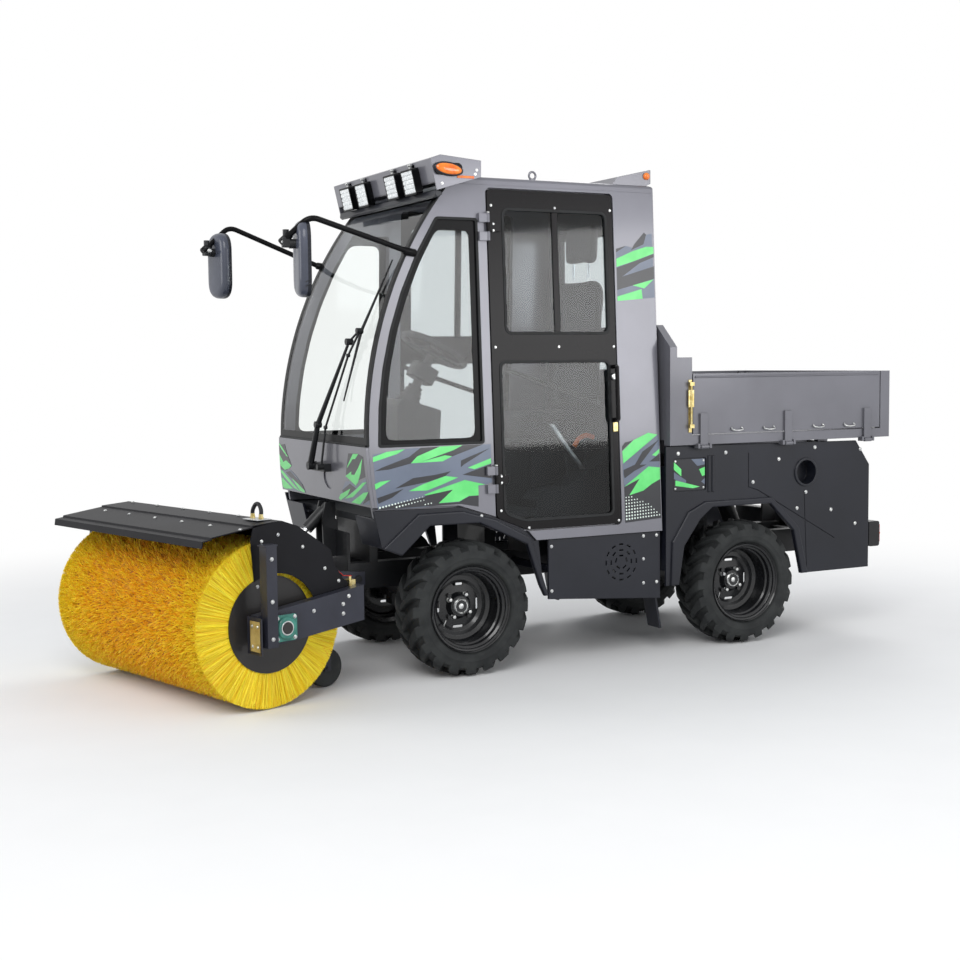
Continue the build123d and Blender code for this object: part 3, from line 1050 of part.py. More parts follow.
def main():
    os.makedirs("parts", exist_ok=True)
    left_side, right_side = cab_sides()
    write("cab_side_left", left_side)
    write("cab_side_right", right_side)
    door_left, door_right, glass_left, glass_right = doors()
    write("door_left", door_left)
    write("door_right", door_right)
    write("door_glass_left", glass_left)
    write("door_glass_right", glass_right)
    write("cab_roof", cab_roof())
    write("cab_rear_wall", cab_rear_wall())
    write("cab_floor", cab_floor())
    write("front_panel", front_panel())
    write("windscreen", windscreen())
    write("cab_windows", cab_windows())
    write("light_bar", light_bar())
    write("work_lamps", work_lamps())
    write("rear_visor", rear_visor())
    fender = front_fender()
    write("front_fender_left", fender)
    write("front_fender_right", one(other_side(fender)))
    write("side_skirts", side_skirts())
    body_left, body_right = rear_bodies()
    write("rear_body_left", body_left)
    write("rear_body_right", body_right)
    write("frame", frame())
    write("engine", engine())
    write("front_axle", front_axle())
    write("rear_axle", rear_axle())
    carrier = knuckle()
    write("knuckle_left", carrier)
    write("knuckle_right", one(other_side(carrier)))
    for place, x in (("front", 0.0), ("rear", -WHEELBASE)):
        for name, shape in (("tyre", tyre()), ("rim", rim())):
            left = Pos(x, WHEEL_MID, TYRE_R) * shape
            write(f"{name}_{place}_left", left)
            write(f"{name}_{place}_right", one(other_side(left)))
    write("seat_base", seat_base())
    cushion, back = seat()
    write("seat_cushion", cushion)
    write("seat_backrest", back)
    write("console", console())
    write("steering_wheel", steering_wheel())
    write("mirrors", mirrors())
    write("wiper", wiper())
    write("rear_bumper", rear_bumper())
    write("tail_lamps", tail_lamps())
    write("bed", bed())
    gate = side_gate()
    write("gate_left", gate)
    write("gate_right", one(other_side(gate)))
    write("tailgate", tailgate())
    barrel, rod = hoist()
    write("hoist_barrel", barrel)
    write("hoist_rod", rod)
    barrel, rod = lift_cylinder()
    write("lift_barrel", barrel)
    write("lift_rod", rod)
    write("lift_arm", lift_arm())
    write("brush_frame", brush_frame())
    roller = gauge_wheel()
    write("gauge_wheel_left", brush_place(roller))
    write("gauge_wheel_right", brush_place(one(other_side(roller))))
    write("brush_hood", brush_hood())
    write("brush_roller", brush_roller())
    write("brush_bristles", bristles())


main()
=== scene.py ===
import bpy
import bmesh
import math
import numpy as np
import random
from mathutils import Matrix, Vector
from mathutils.bvhtree import BVHTree


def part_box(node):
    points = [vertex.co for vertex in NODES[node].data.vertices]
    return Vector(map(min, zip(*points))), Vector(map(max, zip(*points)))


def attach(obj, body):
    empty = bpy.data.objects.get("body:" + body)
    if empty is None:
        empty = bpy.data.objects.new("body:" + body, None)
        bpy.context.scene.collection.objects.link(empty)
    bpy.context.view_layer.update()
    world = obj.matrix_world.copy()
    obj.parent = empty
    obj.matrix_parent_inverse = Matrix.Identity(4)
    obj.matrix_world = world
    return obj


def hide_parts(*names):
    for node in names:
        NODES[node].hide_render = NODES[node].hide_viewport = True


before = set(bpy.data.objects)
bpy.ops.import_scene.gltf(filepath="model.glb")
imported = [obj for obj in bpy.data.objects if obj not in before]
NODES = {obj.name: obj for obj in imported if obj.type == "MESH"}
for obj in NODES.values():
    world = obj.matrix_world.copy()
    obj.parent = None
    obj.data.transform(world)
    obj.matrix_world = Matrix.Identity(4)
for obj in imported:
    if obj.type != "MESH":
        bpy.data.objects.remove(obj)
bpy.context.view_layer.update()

# Places are millimetres from the ground under the front axle's centre, X forward, Y to the left, Z up.
# The brush unit has its own axes there: u forward, s to the left, turned about the swivel pin.


def middle(node):
    """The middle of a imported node's box."""
    low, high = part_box(node)
    return (low + high) / 2


MM = 0.001
SIDES = ((1, "left"), (-1, "right"))
AXLE_X = middle("tyre_front_left").x
CENTRE_Y = (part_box("tyre_front_left")[1].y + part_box("tyre_front_right")[0].y) / 2
WHEELBASE = (AXLE_X - middle("tyre_rear_left").x) / MM
BRUSH_YAW = math.radians(15)
VEHICLE = Matrix.Translation((AXLE_X, CENTRE_Y, 0)) @ Matrix.Scale(MM, 4)
ROLLER = middle("brush_roller")
BRUSH = (Matrix.Translation((ROLLER.x, ROLLER.y, 0)) @ Matrix.Rotation(BRUSH_YAW, 4, "Z")
         @ Matrix.Scale(MM, 4))
TYRE_LOW, TYRE_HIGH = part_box("tyre_front_left")
TYRE_R = (TYRE_HIGH.z - TYRE_LOW.z) / 2 / MM
WHEEL_OUT = (TYRE_HIGH.y - CENTRE_Y) / MM
WHEEL_MID = ((TYRE_LOW.y + TYRE_HIGH.y) / 2 - CENTRE_Y) / MM
SILL_Z, ROOF_Z = 596.0, 2222.0
SILL_Y, ROOF_Y = 567.0, 487.0
WAIST_Z = 1048.0
CAB_REAR = -1015.0
PANEL_T = 14.0
GLASS_T = 5.0
BED_Y = 600.0
BODY_Y = 576.0
SKIRT_Y = 555.0
SIDE_LEAN = math.atan((SILL_Y - ROOF_Y) / (ROOF_Z - SILL_Z))
SIDE_UP = Vector((0, -math.sin(SIDE_LEAN), math.cos(SIDE_LEAN)))
SIDE_OUT = Vector((0, math.cos(SIDE_LEAN), math.sin(SIDE_LEAN)))


class Form:
    """A mesh being built, in millimetres."""

    def __init__(self):
        self.bm = bmesh.new()

    def loft(self, loops, closed=False):
        """Joins loops of as many points each, and closes the two ends unless the last joins the first."""
        rings = [[self.bm.verts.new(point) for point in loop] for loop in loops]
        count = len(rings[0])
        pairs = list(zip(rings, rings[1:])) + ([(rings[-1], rings[0])] if closed else [])
        for one, other in pairs:
            for k in range(count):
                after = (k + 1) % count
                self.bm.faces.new((one[k], one[after], other[after], other[k]))
        if not closed:
            self.bm.faces.new(list(reversed(rings[0])))
            self.bm.faces.new(rings[-1])

    def block(self, x, y, z):
        """A box between the two limits of each axis."""
        low = [Vector((a, b, z[0])) for a, b in ((x[0], y[0]), (x[1], y[0]), (x[1], y[1]), (x[0], y[1]))]
        self.loft([low, [point + Vector((0, 0, z[1] - z[0])) for point in low]])

    def plate(self, outline, depth):
        """A flat outline of points, given a thickness by a vector."""
        points = [Vector(point) for point in outline]
        self.loft([points, [point + Vector(depth) for point in points]])

    def turned(self, profile, place, axis, steps=24):
        """A form of revolution: the profile is (distance along the axis, radius)."""
        turn = Vector(axis).normalized().to_track_quat("Z", "Y").to_matrix()
        rings = []
        for k in range(steps):
            a = 2 * math.pi * k / steps
            ring = [Vector((r * math.cos(a), r * math.sin(a), h)) for h, r in profile]
            rings.append([Vector(place) + turn @ point for point in ring])
        self.loft(rings, closed=True)

    def bar(self, start, end, radius, steps=16):
        """A round bar with flat ends."""
        run = Vector(end) - Vector(start)
        self.turned([(0, 0), (0, radius), (run.length, radius), (run.length, 0)], start, run, steps)

    def tube(self, points, radius, sides=10, smooth=True):
        """A round tube along the points, or along a smooth line through them."""
        line = smooth_line(points) if smooth else [Vector(point) for point in points]
        normal = (line[1] - line[0]).orthogonal().normalized()
        loops = []
        for k, point in enumerate(line):
            along = (line[min(k + 1, len(line) - 1)] - line[max(k - 1, 0)]).normalized()
            normal = (normal - along * normal.dot(along)).normalized()
            side = along.cross(normal)
            angles = [2 * math.pi * j / sides for j in range(sides)]
            loops.append([point + (normal * math.cos(a) + side * math.sin(a)) * radius for a in angles])
        self.loft(loops)

    def bolt(self, place, axis, size, height):
        """A washer and a hexagon head with its rounded top."""
        axis = Vector(axis).normalized()
        self.turned([(0, 0), (0, size * 1.25), (1.6, size * 1.25), (1.6, 0)], place, axis, 16)
        top = [(1.6, 0), (1.6, size), (height * 0.85, size), (height, size * 0.85), (height, 0)]
        self.turned(top, place, axis, 6)


def smooth_line(points, steps=6):
    """Points along a curve through the given ones."""
    knots = [Vector(point) for point in points]
    if len(knots) == 2:
        return knots
    ends = [2 * knots[0] - knots[1]] + knots + [2 * knots[-1] - knots[-2]]
    line = []
    for a, b, c, d in zip(ends, ends[1:], ends[2:], ends[3:]):
        for k in range(steps):
            t = k / steps
            line.append(0.5 * (2 * b + (c - a) * t + (2 * a - 5 * b + 4 * c - d) * t ** 2
                               + (3 * b - a - 3 * c + d) * t ** 3))
    return line + [knots[-1]]


def piece(name, form, body, material, place=VEHICLE, bevel=0.0, angle=35, replaces=()):
    """Makes the form an object that rides on a body of the frame."""
    bmesh.ops.remove_doubles(form.bm, verts=form.bm.verts, dist=0.001)
    bmesh.ops.dissolve_degenerate(form.bm, edges=form.bm.edges, dist=0.001)
    bmesh.ops.recalc_face_normals(form.bm, faces=form.bm.faces)
    mesh = bpy.data.meshes.new(name)
    form.bm.transform(place)
    form.bm.to_mesh(mesh)
    form.bm.free()
    return ready(name, mesh, body, material, bevel, angle, replaces)


def ready(name, mesh, body, material, bevel=0.0, angle=35, replaces=()):
    """Makes the mesh an object with its finish and bevelled edges, on its body."""
    mesh.shade_smooth()
    mesh.set_sharp_from_angle(angle=math.radians(angle))
    mesh.materials.append(MATERIALS[material])
    obj = bpy.data.objects.new(name, mesh)
    bpy.context.scene.collection.objects.link(obj)
    if bevel:
        edge = obj.modifiers.new("edges", "BEVEL")
        edge.width = bevel * MM
        edge.segments = 2
        edge.limit_method = "ANGLE"
        edge.angle_limit = math.radians(angle)
        edge.harden_normals = True
    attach(obj, body)
    if replaces:
        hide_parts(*replaces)
    return obj


def mirrored(obj, name, body, replaces=()):
    """The same piece on the vehicle's right, with its own mesh."""
    mesh = obj.data.copy()
    mesh.transform(Matrix.Translation((0, 2 * CENTRE_Y, 0)) @ Matrix.Scale(-1, 4, (0, 1, 0)))
    mesh.flip_normals()
    other = bpy.data.objects.new(name, mesh)
    bpy.context.scene.collection.objects.link(other)
    for old in obj.modifiers:
        new = other.modifiers.new(old.name, old.type)
        for key in ("width", "segments", "limit_method", "angle_limit", "harden_normals"):
            if hasattr(old, key):
                setattr(new, key, getattr(old, key))
    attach(other, body)
    if replaces:
        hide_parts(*replaces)
    return other


def pair(name, form, body, material, replaces=(), **looks):
    """A piece on the left and its mirror image on the right, on one body or each on its own side's."""
    left = piece(name + "_left", form, body, material, replaces=replaces, **looks)
    nodes = [node.replace("left", "right") for node in replaces]
    mirrored(left, name + "_right", body.replace("left", "right"), nodes)


def on_side(x, z, out=0.0):
    """A point on the cab's left side, so far outside its surface."""
    rise = (z - SILL_Z) / math.cos(SIDE_LEAN)
    return Vector((x, SILL_Y, SILL_Z)) + SIDE_UP * rise + SIDE_OUT * out


def side_y(z, depth=0.0):
    """Half the cab's width at a height, so deep inside its sides."""
    return SILL_Y - (z - SILL_Z) * math.tan(SIDE_LEAN) - depth / math.cos(SIDE_LEAN)


def circle_through(a, b, c):
    """Centre and radius of the circle through three points of x and z."""
    (ax, az), (bx, bz), (cx, cz) = a, b, c
    d = 2 * (ax * (bz - cz) + bx * (cz - az) + cx * (az - bz))
    a2, b2, c2 = ax * ax + az * az, bx * bx + bz * bz, cx * cx + cz * cz
    x = (a2 * (bz - cz) + b2 * (cz - az) + c2 * (az - bz)) / d
    z = (a2 * (cx - bx) + b2 * (ax - cx) + c2 * (bx - ax)) / d
    return x, z, math.hypot(ax - x, az - z)


FRONT_CX, FRONT_CZ, FRONT_R = circle_through((463.0, 787.0), (431.0, 1461.0), (50.0, ROOF_Z - 26))


def front_x(z, out=0.0):
    """How far forward the cab's curved front reaches at a height."""
    return FRONT_CX + math.sqrt((FRONT_R + out) ** 2 - (z - FRONT_CZ) ** 2)


def on_front(y, z, out=0.0):
    """A point on the cab's front, so far outside the windscreen's inner face."""
    return Vector((front_x(z, out), y, z))


def oblong(half_wide, half_high):
    """The four corners of an upright oblong about its middle."""
    return [(a * half_wide, b * half_high) for a, b in ((-1, -1), (1, -1), (1, 1), (-1, 1))]


def rounded(corners, radius, steps=6):
    """The points of a closed outline whose corners are rounded."""
    points = []
    corners = [Vector(corner) for corner in corners]
    for before, corner, after in zip(corners[-1:] + corners[:-1], corners, corners[1:] + corners[:1]):
        start = corner + (before - corner).normalized() * radius
        end = corner + (after - corner).normalized() * radius
        for k in range(steps + 1):
            t = k / steps
            points.append(start * (1 - t) ** 2 + corner * 2 * t * (1 - t) + end * t ** 2)
    return points


def bent(points, radii, steps=8):
    """A line of points whose inner corners are bent to the given radii."""
    points = [Vector(point) for point in points]
    line = [points[0]]
    for before, corner, after, radius in zip(points, points[1:], points[2:], radii):
        reach = radius / math.tan((before - corner).angle(after - corner) / 2)
        start = corner + (before - corner).normalized() * reach
        end = corner + (after - corner).normalized() * reach
        for k in range(steps + 1):
            t = k / steps
            line.append(start * (1 - t) ** 2 + corner * 2 * t * (1 - t) + end * t ** 2)
    return line + [points[-1]]


def inset(points, distance):
    """A closed outline moved inwards by a distance, point for point."""
    points = [Vector(point) for point in points]
    area = sum(a.x * b.y - b.x * a.y for a, b in zip(points, points[1:] + points[:1]))
    turn = 1 if area > 0 else -1
    moved = []
    for before, point, after in zip(points[-1:] + points[:-1], points, points[1:] + points[:1]):
        ways = (point - before).normalized(), (after - point).normalized()
        first, second = (Vector((-way.y, way.x)) * turn for way in ways)
        both = (first + second).normalized()
        moved.append(point + both * distance / max(0.4, both.dot(first)))
    return moved


# Materials


def rgb(red, green, blue):
    """A display colour, 0 to 255, as the shader's linear colour."""
    def linear(value):
        value /= 255
        return value / 12.92 if value <= 0.04045 else ((value + 0.055) / 1.055) ** 2.4
    return (linear(red), linear(green), linear(blue), 1.0)


def new_material(name):
    """A material, its node tree and its Principled shader."""
    mat = bpy.data.materials.new(name)
    mat.use_nodes = True
    return mat, mat.node_tree, mat.node_tree.nodes["Principled BSDF"]


def shader_node(tree, kind, links=(), **values):
    """A node with its values set and its sockets fed: links are (socket name or place, source socket)."""
    made = tree.nodes.new(kind)
    for key, value in values.items():
        label = "IOR" if key == "ior" else key.replace("_", " ").title()
        if label in made.inputs:
            made.inputs[label].default_value = value
        else:
            setattr(made, key, value)
    for socket, source in links:
        tree.links.new(source, made.inputs[socket])
    return made


def own_place(tree):
    """The object's own coordinates."""
    return shader_node(tree, "ShaderNodeTexCoord").outputs["Object"]


def noise(tree, scale, detail):
    """Uneven values over the object."""
    return shader_node(tree, "ShaderNodeTexNoise", [("Vector", own_place(tree))], scale=scale,
                       detail=detail).outputs[0]


def ramp(tree, source, low, high, ends=(0, 1)):
    """A value as a colour between two."""
    made = shader_node(tree, "ShaderNodeValToRGB", [("Fac", source)])
    for element, end, colour in zip(made.color_ramp.elements, ends, (low, high)):
        element.position = end
        element.color = colour
    return made.outputs[0]


def spread(tree, source, low, high):
    """A value from nought to one, stretched between two others."""
    return shader_node(tree, "ShaderNodeMapRange", [("Value", source)], to_min=low, to_max=high).outputs[0]


def mixed(tree, share, one, other):
    """Two shaders, with a share of the second."""
    return shader_node(tree, "ShaderNodeMixShader", [(0, share), (1, one), (2, other)]).outputs[0]


def surface(name, dark, light, rough, metal, coat, patch, grain, bump, depth, rounding, gleam=0.3):
    """A procedural finish: uneven colour in patches, a fine grain in roughness and bump, rounded edges."""
    mat, tree, shader = new_material(name)
    grains = noise(tree, grain, 3.0)
    edges = shader_node(tree, "ShaderNodeBevel", samples=4, radius=rounding * MM)
    relief = shader_node(tree, "ShaderNodeBump", [("Height", grains), ("Normal", edges.outputs[0])],
                         strength=bump, distance=depth * MM)
    colours = ramp(tree, noise(tree, patch, 5.0), rgb(*dark), rgb(*light), (0.35, 0.65))
    for socket, source in (("Base Color", colours), ("Roughness", spread(tree, grains, *rough)),
                           ("Normal", relief.outputs[0])):
        tree.links.new(source, shader.inputs[socket])
    for socket, value in (("Metallic", metal), ("Specular IOR Level", gleam), ("Coat Weight", coat),
                          ("Coat Roughness", 0.1)):
        shader.inputs[socket].default_value = value
    return mat


def clear(name, tint):
    """Thin glass: see-through with a mirror share that grows at a glancing angle."""
    mat, tree, shader = new_material(name)
    tree.nodes.remove(shader)
    gloss = spread(tree, noise(tree, 6.0, 4.0), 0.02, 0.07)
    through = shader_node(tree, "ShaderNodeBsdfTransparent", color=tint)
    mirror = shader_node(tree, "ShaderNodeBsdfGlossy", [("Roughness", gloss)])
    glance = shader_node(tree, "ShaderNodeFresnel", ior=1.45)
    inside = shader_node(tree, "ShaderNodeNewGeometry").outputs["Backfacing"]
    outside = shader_node(tree, "ShaderNodeMath", [(1, inside)], operation="SUBTRACT")
    outside.inputs[0].default_value = 1.0
    share = shader_node(tree, "ShaderNodeMath", [(0, glance.outputs[0]), (1, outside.outputs[0])],
                        operation="MULTIPLY")
    both = mixed(tree, share.outputs[0], through.outputs[0], mirror.outputs[0])
    tree.links.new(both, tree.nodes["Material Output"].inputs["Surface"])
    return mat


def bristle_material(name, low, high):
    """Each bristle has its own shade."""
    mat, tree, shader = new_material(name)
    each = shader_node(tree, "ShaderNodeNewGeometry").outputs["Random Per Island"]
    tree.links.new(ramp(tree, each, low, high), shader.inputs["Base Color"])
    tree.links.new(spread(tree, noise(tree, 300.0, 2.0), 0.4, 0.6), shader.inputs["Roughness"])
    return mat


SURFACES = (  # name, dark, light, roughness, metal, coat, patch, grain, bump, depth, rounding (and gleam)
    ("body_paint", (106, 106, 113), (117, 117, 125), (0.28, 0.36), 0.35, 0.5, 1.6, 900, 0.05, 0.1, 3),
    ("bed_paint", (104, 104, 110), (115, 115, 122), (0.32, 0.42), 0.3, 0.3, 2, 700, 0.08, 0.15, 2.5),
    ("moulded_plastic", (20, 22, 30), (27, 29, 38), (0.3, 0.4), 0, 0.1, 2.5, 600, 0.1, 0.15, 5),
    ("door_black", (12, 10, 12), (17, 15, 17), (0.22, 0.3), 0, 0, 2, 600, 0.08, 0.1, 2.5, 0.15),
    ("frame_black", (18, 19, 21), (30, 31, 34), (0.38, 0.55), 0, 0.15, 7, 180, 0.25, 0.4, 2),
    ("hood_grey", (20, 20, 23), (27, 27, 31), (0.42, 0.5), 0, 0, 3, 500, 0.12, 0.2, 2, 0.12),
    ("arm_grey", (38, 39, 48), (50, 52, 63), (0.32, 0.42), 0.1, 0.1, 4, 400, 0.12, 0.25, 3),
    ("tyre_rubber", (30, 32, 33), (46, 48, 48), (0.62, 0.8), 0, 0, 14, 320, 0.35, 0.6, 2),
    ("seal_rubber", (16, 17, 18), (26, 28, 30), (0.45, 0.6), 0, 0, 20, 500, 0.2, 0.3, 1),
    ("wheel_black", (14, 15, 17), (24, 25, 28), (0.22, 0.34), 0, 0.5, 6, 300, 0.1, 0.2, 2.5),
    ("zinc", (168, 170, 172), (215, 216, 214), (0.22, 0.42), 1, 0, 40, 900, 0.15, 0.1, 1),
    ("rod_chrome", (205, 208, 212), (228, 230, 232), (0.06, 0.14), 1, 0, 12, 600, 0.03, 0.05, 1),
    ("yellow_zinc", (178, 158, 96), (214, 200, 150), (0.25, 0.45), 1, 0, 45, 700, 0.15, 0.1, 1),
    ("roller_black", (34, 32, 32), (46, 44, 44), (0.35, 0.5), 0, 0.2, 3, 350, 0.12, 0.2, 1.5),
    # The bristles' core: their orange darkened to paint the shade that falls in the gaps between the tufts.
    ("bristle_core_painted_shade", (150, 88, 6), (225, 160, 16), (0.6, 0.8), 0, 0, 60, 180, 0.8, 3, 1),
    ("cabin_plastic", (22, 24, 28), (32, 34, 38), (0.5, 0.65), 0, 0, 6, 300, 0.1, 0.1, 4),
    ("seat_vinyl", (30, 32, 37), (44, 46, 52), (0.48, 0.62), 0, 0, 8, 420, 0.35, 0.35, 2),
    ("cabin_lining", (40, 42, 46), (52, 54, 58), (0.6, 0.75), 0, 0, 5, 300, 0.2, 0.3, 2),
    ("engine_grey", (52, 54, 56), (78, 80, 82), (0.45, 0.6), 0.4, 0, 9, 200, 0.3, 0.5, 2),
    ("amber_lens", (232, 98, 6), (250, 138, 24), (0.1, 0.2), 0, 0.8, 30, 500, 0.15, 0.2, 2),
    ("red_lens", (150, 10, 12), (190, 20, 20), (0.1, 0.2), 0, 0.8, 30, 500, 0.15, 0.2, 2),
    ("lamp_face", (205, 210, 212), (248, 250, 250), (0.1, 0.25), 0.2, 0.6, 120, 900, 0.4, 0.4, 1),
    ("bearing_green", (36, 92, 84), (66, 138, 124), (0.38, 0.5), 0, 0.3, 14, 300, 0.2, 0.3, 2),
    ("black_enamel", (7, 7, 9), (12, 12, 14), (0.25, 0.35), 0, 0, 4, 500, 0.04, 0.05, 1, 0.12),
    ("stripe_green", (92, 214, 112), (108, 226, 126), (0.3, 0.42), 0, 0.4, 14, 700, 0.08, 0.08, 0.5),
    ("stripe_slate", (92, 102, 120), (104, 114, 132), (0.3, 0.42), 0, 0.4, 5, 700, 0.08, 0.08, 0.5),
    ("stripe_dark", (28, 29, 35), (36, 37, 43), (0.3, 0.42), 0, 0.4, 5, 700, 0.08, 0.08, 0.5),
    ("stripe_pale", (214, 230, 220), (234, 246, 238), (0.3, 0.42), 0, 0.4, 20, 700, 0.08, 0.08, 0.5),
    ("mirror_shell", (62, 66, 78), (72, 76, 90), (0.3, 0.4), 0, 0.3, 9, 500, 0.1, 0.1, 3),
    ("mirror_glass", (196, 202, 208), (210, 215, 220), (0.02, 0.05), 1, 0, 5, 400, 0.01, 0.02, 1),
    ("orange_plastic", (226, 96, 14), (240, 124, 26), (0.3, 0.42), 0, 0.3, 30, 500, 0.15, 0.15, 2),
    ("red_plastic", (176, 22, 18), (206, 36, 28), (0.3, 0.42), 0, 0.3, 30, 500, 0.15, 0.15, 2),
    ("ochre_paint", (150, 128, 74), (178, 156, 98), (0.4, 0.55), 0, 0.15, 22, 240, 0.2, 0.25, 1.5),
    ("pale_plate", (188, 190, 192), (206, 208, 209), (0.35, 0.48), 0.4, 0, 18, 400, 0.12, 0.12, 1.5),
    ("hose_rubber", (18, 19, 21), (30, 31, 34), (0.4, 0.55), 0, 0, 60, 900, 0.35, 0.25, 1),
)
GLASSES = (("clear_glass", (0.98, 0.99, 0.985, 1)), ("door_glass", (0.70, 0.73, 0.74, 1)))
BRISTLES = (("bristle_side", (226, 140, 6), (255, 226, 40)), ("bristle_end", (236, 190, 8), (255, 244, 60)))
MATERIALS = {row[0]: surface(*row) for row in SURFACES}
MATERIALS.update((name, clear(name, tint)) for name, tint in GLASSES)
MATERIALS.update((name, bristle_material(name, rgb(*low), rgb(*high))) for name, low, high in BRISTLES)


def sides(*names):
    """The names of the left and right nodes."""
    return [f"{name}_{side}" for name in names for side in ("left", "right")]


NODE_FINISHES = {
    "body_paint": [*sides("cab_side"), "cab_roof", "front_panel", "light_bar", "rear_visor"],
    "bed_paint": ["bed", *sides("gate"), "tailgate"],
    "moulded_plastic": [*sides("front_fender", "rear_body"), "side_skirts"],
    "door_black": sides("door"),
    "frame_black": ["frame", "front_axle", "rear_axle", *sides("knuckle"), "rear_bumper", "hoist_barrel",
                    "lift_barrel", "mirrors", "wiper"],
    "arm_grey": ["lift_arm", "brush_frame"],
    "hood_grey": ["brush_hood"],
    "roller_black": ["brush_roller"],
    "tyre_rubber": sides("tyre_front", "tyre_rear", "gauge_wheel"),
    "wheel_black": sides("rim_front", "rim_rear"),
    "rod_chrome": ["hoist_rod", "lift_rod"],
    "cabin_plastic": ["console", "steering_wheel", "seat_base", "cab_floor"],
    "cabin_lining": ["cab_rear_wall"],
    "seat_vinyl": ["seat_cushion", "seat_backrest"],
    "engine_grey": ["engine"],
    "clear_glass": ["windscreen", "cab_windows"],
    "door_glass": sides("door_glass"),
    "black_enamel": ["work_lamps"],
    "red_lens": ["tail_lamps"],
    # The brush's bristles take the core's colour, darkened as painted shade.
    "bristle_core_painted_shade": ["brush_bristles"],
}


def finish_nodes():
    """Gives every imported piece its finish."""
    for material, nodes in NODE_FINISHES.items():
        for node in nodes:
            mesh = NODES[node].data
            mesh.materials.clear()
            mesh.materials.append(MATERIALS[material])


# Camera, light and floor


LENS = 54.43
VIEW_YAW, VIEW_PITCH, VIEW_ROLL = 27.471, 4.692, 0.623
EYE = Vector((AXLE_X + 2.916, CENTRE_Y + 6.254, 1.410))


def camera():
    """The photograph's view of the vehicle."""
    data = bpy.data.cameras.new("camera")
    data.sensor_width = 36
    data.lens = LENS
    data.clip_end = 200
    cam = bpy.data.objects.new("camera", data)
    bpy.context.scene.collection.objects.link(cam)
    yaw, pitch, roll = (math.radians(angle) for angle in (VIEW_YAW, VIEW_PITCH, VIEW_ROLL))
    ahead = Vector((-math.sin(yaw) * math.cos(pitch), -math.cos(yaw) * math.cos(pitch), -math.sin(pitch)))
    right = Vector((-math.cos(yaw), math.sin(yaw), 0))
    down = ahead.cross(right)
    across = right * math.cos(roll) + down * math.sin(roll)
    below = down * math.cos(roll) - right * math.sin(roll)
    turn = Matrix((across, -below, -ahead)).transposed().to_4x4()
    cam.matrix_world = Matrix.Translation(EYE) @ turn
    bpy.context.scene.camera = cam


def lamp(name, place, target, size, power):
    """A soft oblong lamp that shines at a target."""
    data = bpy.data.lights.new(name, "AREA")
    data.shape = "RECTANGLE"
    data.size, data.size_y = size
    data.energy = power
    made = bpy.data.objects.new(name, data)
    made.location = place
    made.rotation_mode = "QUATERNION"
    made.rotation_quaternion = (Vector(target) - Vector(place)).to_track_quat("-Z", "Y")
    bpy.context.scene.collection.objects.link(made)


def seen_directly(tree):
    """One where the camera, a mirror or glass shows the background, nought for the light it gives."""
    path = shader_node(tree, "ShaderNodeLightPath")
    share = path.outputs["Is Camera Ray"]
    for kind in ("Is Glossy Ray", "Is Transmission Ray"):
        share = shader_node(tree, "ShaderNodeMath", [(0, share), (1, path.outputs[kind])],
                            operation="MAXIMUM").outputs[0]
    return share


def studio():
    """A pale floor that fades to a white surround, with soft light from above and both sides."""
    world = bpy.data.worlds.new("studio")
    bpy.context.scene.world = world
    world.use_nodes = True
    tree = world.node_tree
    light = tree.nodes["Background"]
    light.inputs["Color"].default_value = (0.93, 0.96, 1.0, 1)
    light.inputs["Strength"].default_value = 0.5
    white = shader_node(tree, "ShaderNodeBackground", color=(1, 1, 1, 1), strength=1.0)
    both = mixed(tree, seen_directly(tree), light.outputs[0], white.outputs[0])
    tree.links.new(both, tree.nodes["World Output"].inputs["Surface"])
    lamp("key", (4.0, 5.5, 5.5), (0, 0, 0.8), (4, 4), 290)
    lamp("front", (6.5, -1.5, 3.0), (0.5, 0, 0.9), (3, 3), 110)
    lamp("back", (-5.0, -3.5, 5.0), (0, 0, 1), (4, 3), 160)
    lamp("side", (-3.5, 6.5, 2.2), (-0.6, 0, 0.8), (3.5, 2), 120)
    floor = Form()
    floor.turned([(-0.2, 0), (-0.2, 30), (0, 30), (0, 0)], (0, 0, 0), (0, 0, 1), 96)
    mesh = bpy.data.meshes.new("floor")
    floor.bm.to_mesh(mesh)
    floor.bm.free()
    ground = bpy.data.objects.new("floor", mesh)
    bpy.context.scene.collection.objects.link(ground)
    mat, tree, shader = new_material("floor")
    shader.inputs["Roughness"].default_value = 0.9
    tone = ramp(tree, noise(tree, 3.0, 6.0), (0.86, 0.86, 0.86, 1), (0.90, 0.90, 0.90, 1))
    tree.links.new(tone, shader.inputs["Base Color"])
    reach = shader_node(tree, "ShaderNodeVectorMath", [(0, own_place(tree))], operation="LENGTH")
    fade = shader_node(tree, "ShaderNodeMapRange", [("Value", reach.outputs["Value"])],
                       interpolation_type="SMOOTHSTEP", from_min=2.2, from_max=5.5)
    share = shader_node(tree, "ShaderNodeMath", [(0, fade.outputs[0]), (1, seen_directly(tree))],
                        operation="MULTIPLY")
    white = shader_node(tree, "ShaderNodeEmission", color=(1, 1, 1, 1), strength=1.0)
    both = mixed(tree, share.outputs[0], shader.outputs[0], white.outputs[0])
    tree.links.new(both, tree.nodes["Material Output"].inputs["Surface"])
    mesh.materials.append(mat)


# Wheels


LUGS = 20
CARCASS_R = TYRE_R - 25


